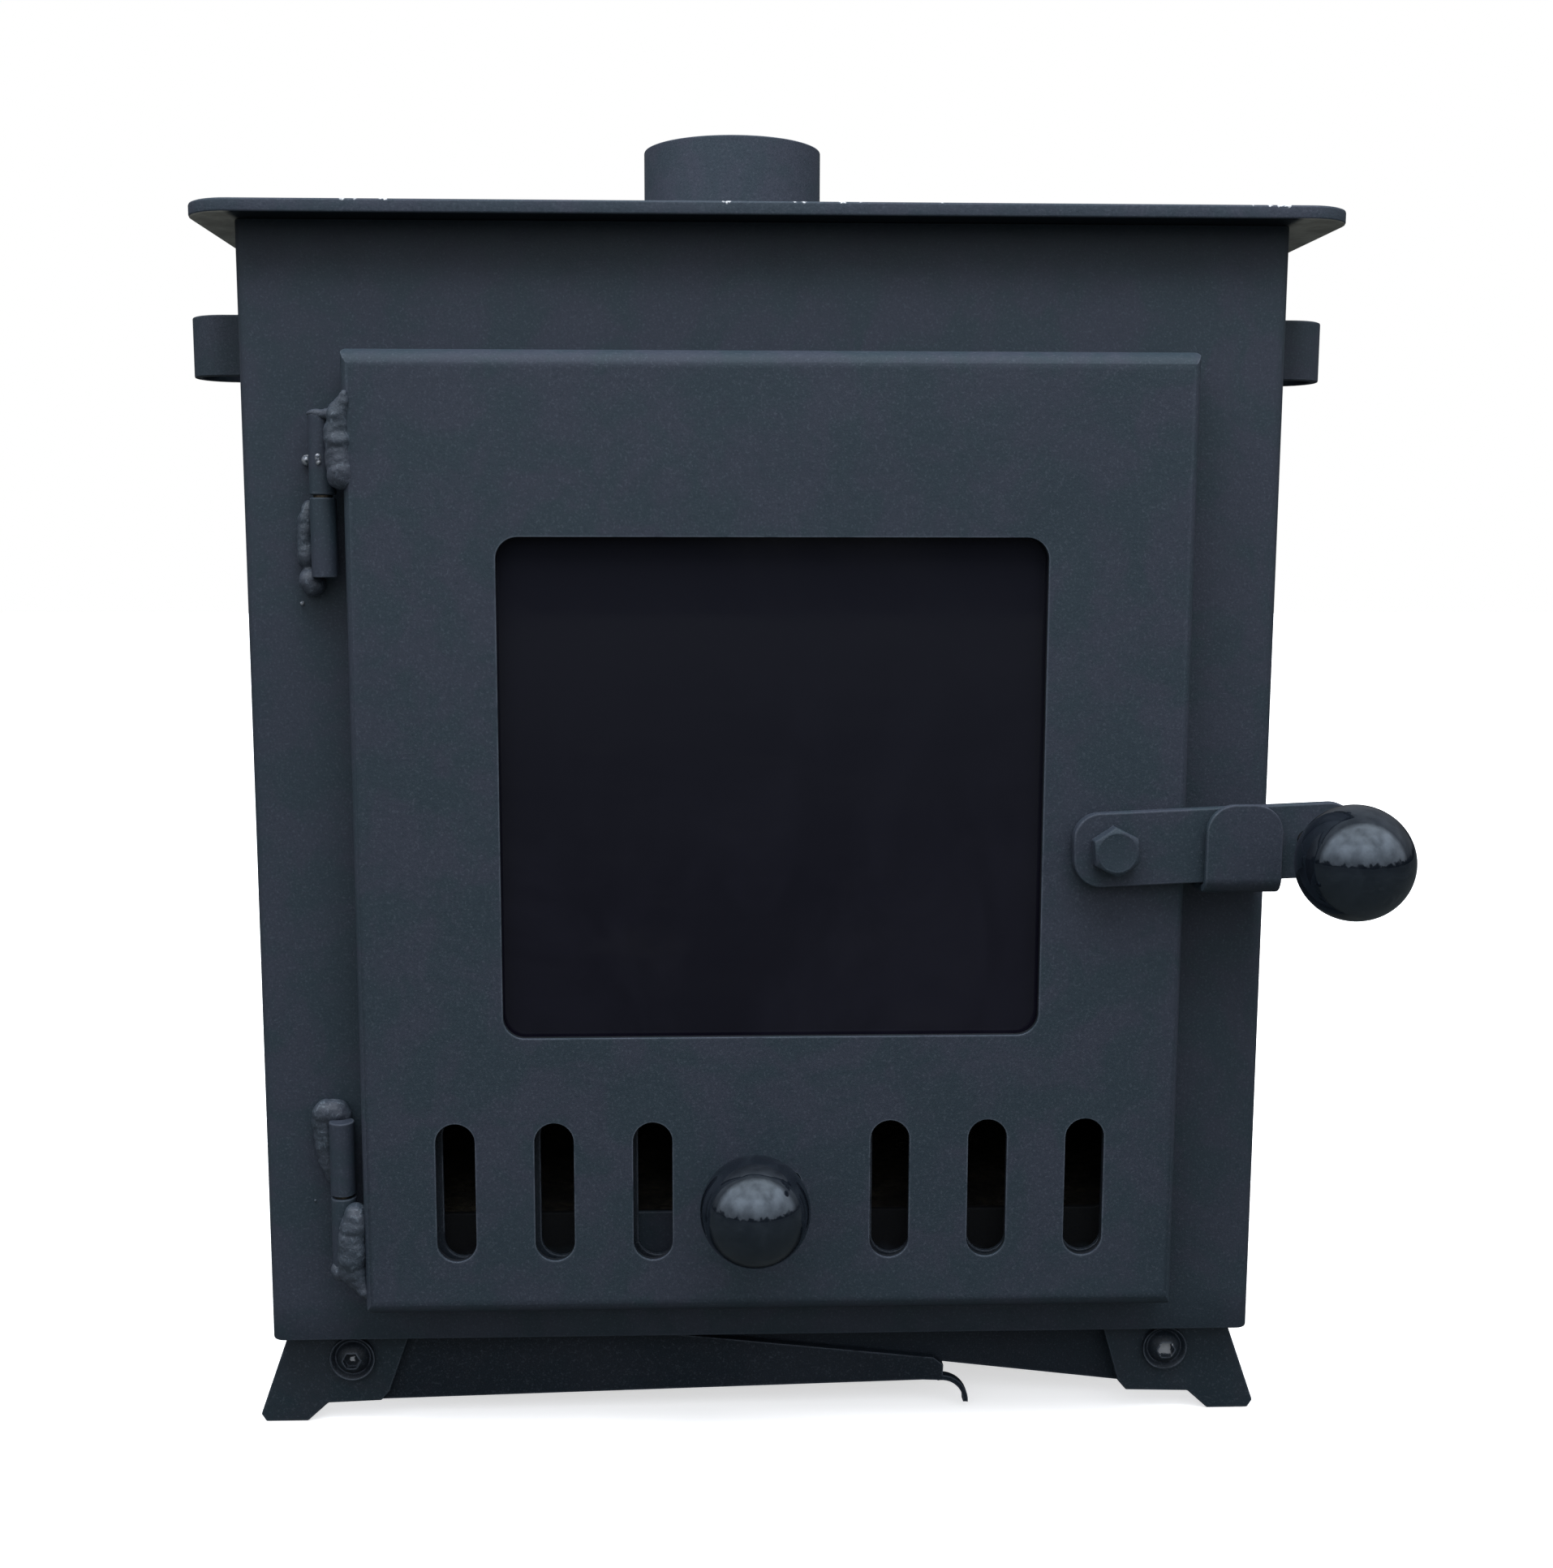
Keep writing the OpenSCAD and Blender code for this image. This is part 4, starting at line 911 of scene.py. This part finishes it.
def rope_seal():
    """A knitted rope laid round the back of the door in one closed loop."""
    lo, hi = in_mm("rope_seal")
    around = 20
    corner_steps = 12
    w, h = hi.x - lo.x - 2 * ROPE_R, hi.z - lo.z - 2 * ROPE_R
    mid = (lo + hi) / 2
    line = []
    for turn, (sx, sz) in enumerate(((1, 1), (-1, 1), (-1, -1), (1, -1))):
        corner = Vector((sx * (w / 2 - ROPE_BEND), 0, sz * (h / 2 - ROPE_BEND)))
        for i in range(corner_steps + 1):
            a = math.pi / 2 * (turn + i / corner_steps)
            line.append(corner + Vector((math.cos(a), 0, math.sin(a))) * ROPE_BEND)
    points = []
    for a, b in zip(line, line[1:] + line[:1]):
        steps = max(1, round((b - a).length / ROPE_STEP))
        points += [a.lerp(b, i / steps) for i in range(steps)]
    bm = bmesh.new()
    count = len(points)
    stitches = 4
    waves = round(count * ROPE_STEP / ROPE_STITCH)
    rings = []
    for i, p in enumerate(points):
        along = (points[(i + 1) % count] - points[i - 1]).normalized()
        out = Vector((0, 1, 0)).cross(along)
        phase = 2 * math.pi * waves * i / count
        ring = []
        for k in range(around):
            a = 2 * math.pi * k / around
            knit = max(math.sin(stitches * a + phase), math.sin(stitches * a - phase))
            size = ROPE_R - ROPE_SUNK + ROPE_RELIEF * knit
            q = p + (out * math.cos(a) + Vector((0, 1, 0)) * math.sin(a)) * size
            ring.append(bm.verts.new((q + mid) * MM))
        rings.append(ring)
    for i in range(count):
        one, two = rings[i], rings[(i + 1) % count]
        for k in range(around):
            j = (k + 1) % around
            bm.faces.new((one[k], two[k], two[j], one[j]))
    bmesh.ops.recalc_face_normals(bm, faces=bm.faces)
    made = piece_from("rope_seal_knit", bm, "seal_rope", "door")
    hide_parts("rope_seal")


hinge_welds()
small_welds()
latch_bolt()
rope_seal()


# ---- Camera, floor and light ----

# The camera stands in front of the stove, a little left of its middle and above it: place in metres,
# turns in radians (right, down and to the side), lens and sensor in millimetres
CAMERA_PLACE = (-0.0305, -0.7672, 0.3444)
CAMERA_YAW = 0.0332
CAMERA_PITCH = 0.1340
CAMERA_ROLL = 0.0012
CAMERA_LENS = 41.25
CAMERA_SENSOR = 36
CAMERA_SHIFT = 0.021

# The world's light by height above its ragged horizon: position on the ramp and brightness
HORIZON = ((0.060, 0.040), (0.095, 0.36), (0.30, 0.60), (0.60, 1.06))
UNDER_HORIZON = (0.012, 0.014, 0.016, 1)
ZENITH = (0.94, 0.97, 1.0, 1)
HORIZON_LIFT = 0.24
HORIZON_RAGGED = -0.48
# How strongly the room's light varies from place to place
ROOM_UNEVEN = 2.76
# Reflections of the room dim between these two values of a direction's Y, from its front to its back
BACK_FROM, BACK_TO = -0.12, 0.06

# Half the floor's width, and how far it lies below the ground plane, in metres
FLOOR_HALF = 8
FLOOR_DROP = 0.0003


def camera():
    yaw, pitch, roll = CAMERA_YAW, CAMERA_PITCH, CAMERA_ROLL
    fwd = Vector((math.sin(yaw) * math.cos(pitch), math.cos(yaw) * math.cos(pitch), -math.sin(pitch)))
    level = Vector((math.cos(yaw), -math.sin(yaw), 0))
    up = level.cross(fwd)
    right = level * math.cos(roll) + up * math.sin(roll)
    up = up * math.cos(roll) - level * math.sin(roll)
    turned = Matrix((right, up, -fwd)).transposed().to_4x4()
    data = bpy.data.cameras.new("camera")
    data.lens, data.sensor_width = CAMERA_LENS, CAMERA_SENSOR
    data.shift_x = CAMERA_SHIFT
    data.clip_start, data.clip_end = 0.01, 60
    made = bpy.data.objects.new("camera", data)
    made.matrix_world = Matrix.Translation(Vector(CAMERA_PLACE)) @ turned
    bpy.context.scene.collection.objects.link(made)
    bpy.context.scene.camera = made


def floor():
    """A sheet that lies just under the ground plane, so the feet stand clear of it."""
    bm = bmesh.new()
    bmesh.ops.create_grid(bm, x_segments=8, y_segments=8, size=FLOOR_HALF)
    mesh = bpy.data.meshes.new("floor")
    bm.to_mesh(mesh)
    bm.free()
    made = bpy.data.objects.new("floor", mesh)
    made.location = (0, 0, -FLOOR_DROP)
    mesh.materials.append(floor_plain())
    bpy.context.scene.collection.objects.link(made)


def softbox(name, place, target, size, power, colour):
    """A rectangular light that shines from its place to its target and shows in no reflection."""
    data = bpy.data.lights.new(name, "AREA")
    data.shape = "RECTANGLE"
    data.size, data.size_y = size
    data.energy = power
    data.color = colour
    made = bpy.data.objects.new(name, data)
    made.location = place
    made.rotation_mode = "QUATERNION"
    made.rotation_quaternion = (Vector(target) - Vector(place)).to_track_quat("-Z", "Y")
    made.visible_glossy = False
    bpy.context.scene.collection.objects.link(made)


def world():
    """Soft light from above: a pale uneven dome over a dim, ragged horizon."""
    made = bpy.data.worlds.new("studio")
    made.use_nodes = True
    tree = made.node_tree
    tree.nodes.clear()
    add, link = tree.nodes.new, tree.links.new
    place = add("ShaderNodeTexCoord").outputs["Generated"]
    split = add("ShaderNodeSeparateXYZ")
    link(place, split.inputs[0])

    def uneven(scale, detail):
        made = add("ShaderNodeTexNoise")
        link(place, made.inputs["Vector"])
        made.inputs["Scale"].default_value = scale
        made.inputs["Detail"].default_value = detail
        return made.outputs[0]

    def times_add(a, b, c):
        made = add("ShaderNodeMath")
        made.operation = "MULTIPLY_ADD"
        for socket, value in zip(made.inputs, (a, b, c)):
            if isinstance(value, float):
                socket.default_value = value
            else:
                link(value, socket)
        return made.outputs[0]

    height = times_add(uneven(5.5, 6), HORIZON_RAGGED, split.outputs["Z"])
    ramp = add("ShaderNodeValToRGB")
    link(times_add(height, 1.0, HORIZON_LIFT), ramp.inputs[0])
    stops = ramp.color_ramp
    stops.elements[0].position, stops.elements[0].color = 0.0, UNDER_HORIZON
    stops.elements[1].position, stops.elements[1].color = 1.0, ZENITH
    for position, grey in HORIZON:
        stops.elements.new(position).color = (grey * 0.94, grey * 0.98, grey * 1.05, 1)
    room = add("ShaderNodeBackground")
    link(ramp.outputs[0], room.inputs[0])
    path = add("ShaderNodeLightPath")
    behind = add("ShaderNodeMapRange")
    link(split.outputs["Y"], behind.inputs[0])
    for socket, value in zip(behind.inputs[1:], (BACK_FROM, BACK_TO, 0.0, BACK_LIGHT - 1)):
        socket.default_value = value
    kept = times_add(behind.outputs[0], path.outputs["Is Glossy Ray"], 1.0)
    bright = times_add(uneven(2.6, 7), ROOM_UNEVEN, ROOM_LIGHT - ROOM_UNEVEN / 2)
    link(times_add(kept, bright, 0.0), room.inputs[1])
    seen = add("ShaderNodeBackground")
    seen.inputs[0].default_value = (1, 1, 1, 1)
    seen.inputs[1].default_value = 1.0
    both = add("ShaderNodeMixShader")
    link(path.outputs["Is Camera Ray"], both.inputs[0])
    link(room.outputs[0], both.inputs[1])
    link(seen.outputs[0], both.inputs[2])
    out = add("ShaderNodeOutputWorld")
    link(both.outputs[0], out.inputs[0])
    bpy.context.scene.world = made


camera()
floor()
softbox("overhead", place=(-0.10, -0.46, 1.50), target=(0, -0.1, 0.40), size=(1.4, 0.7), power=30,
        colour=(0.97, 0.985, 1.0))
world()

bpy.context.scene.view_settings.view_transform = "Standard"
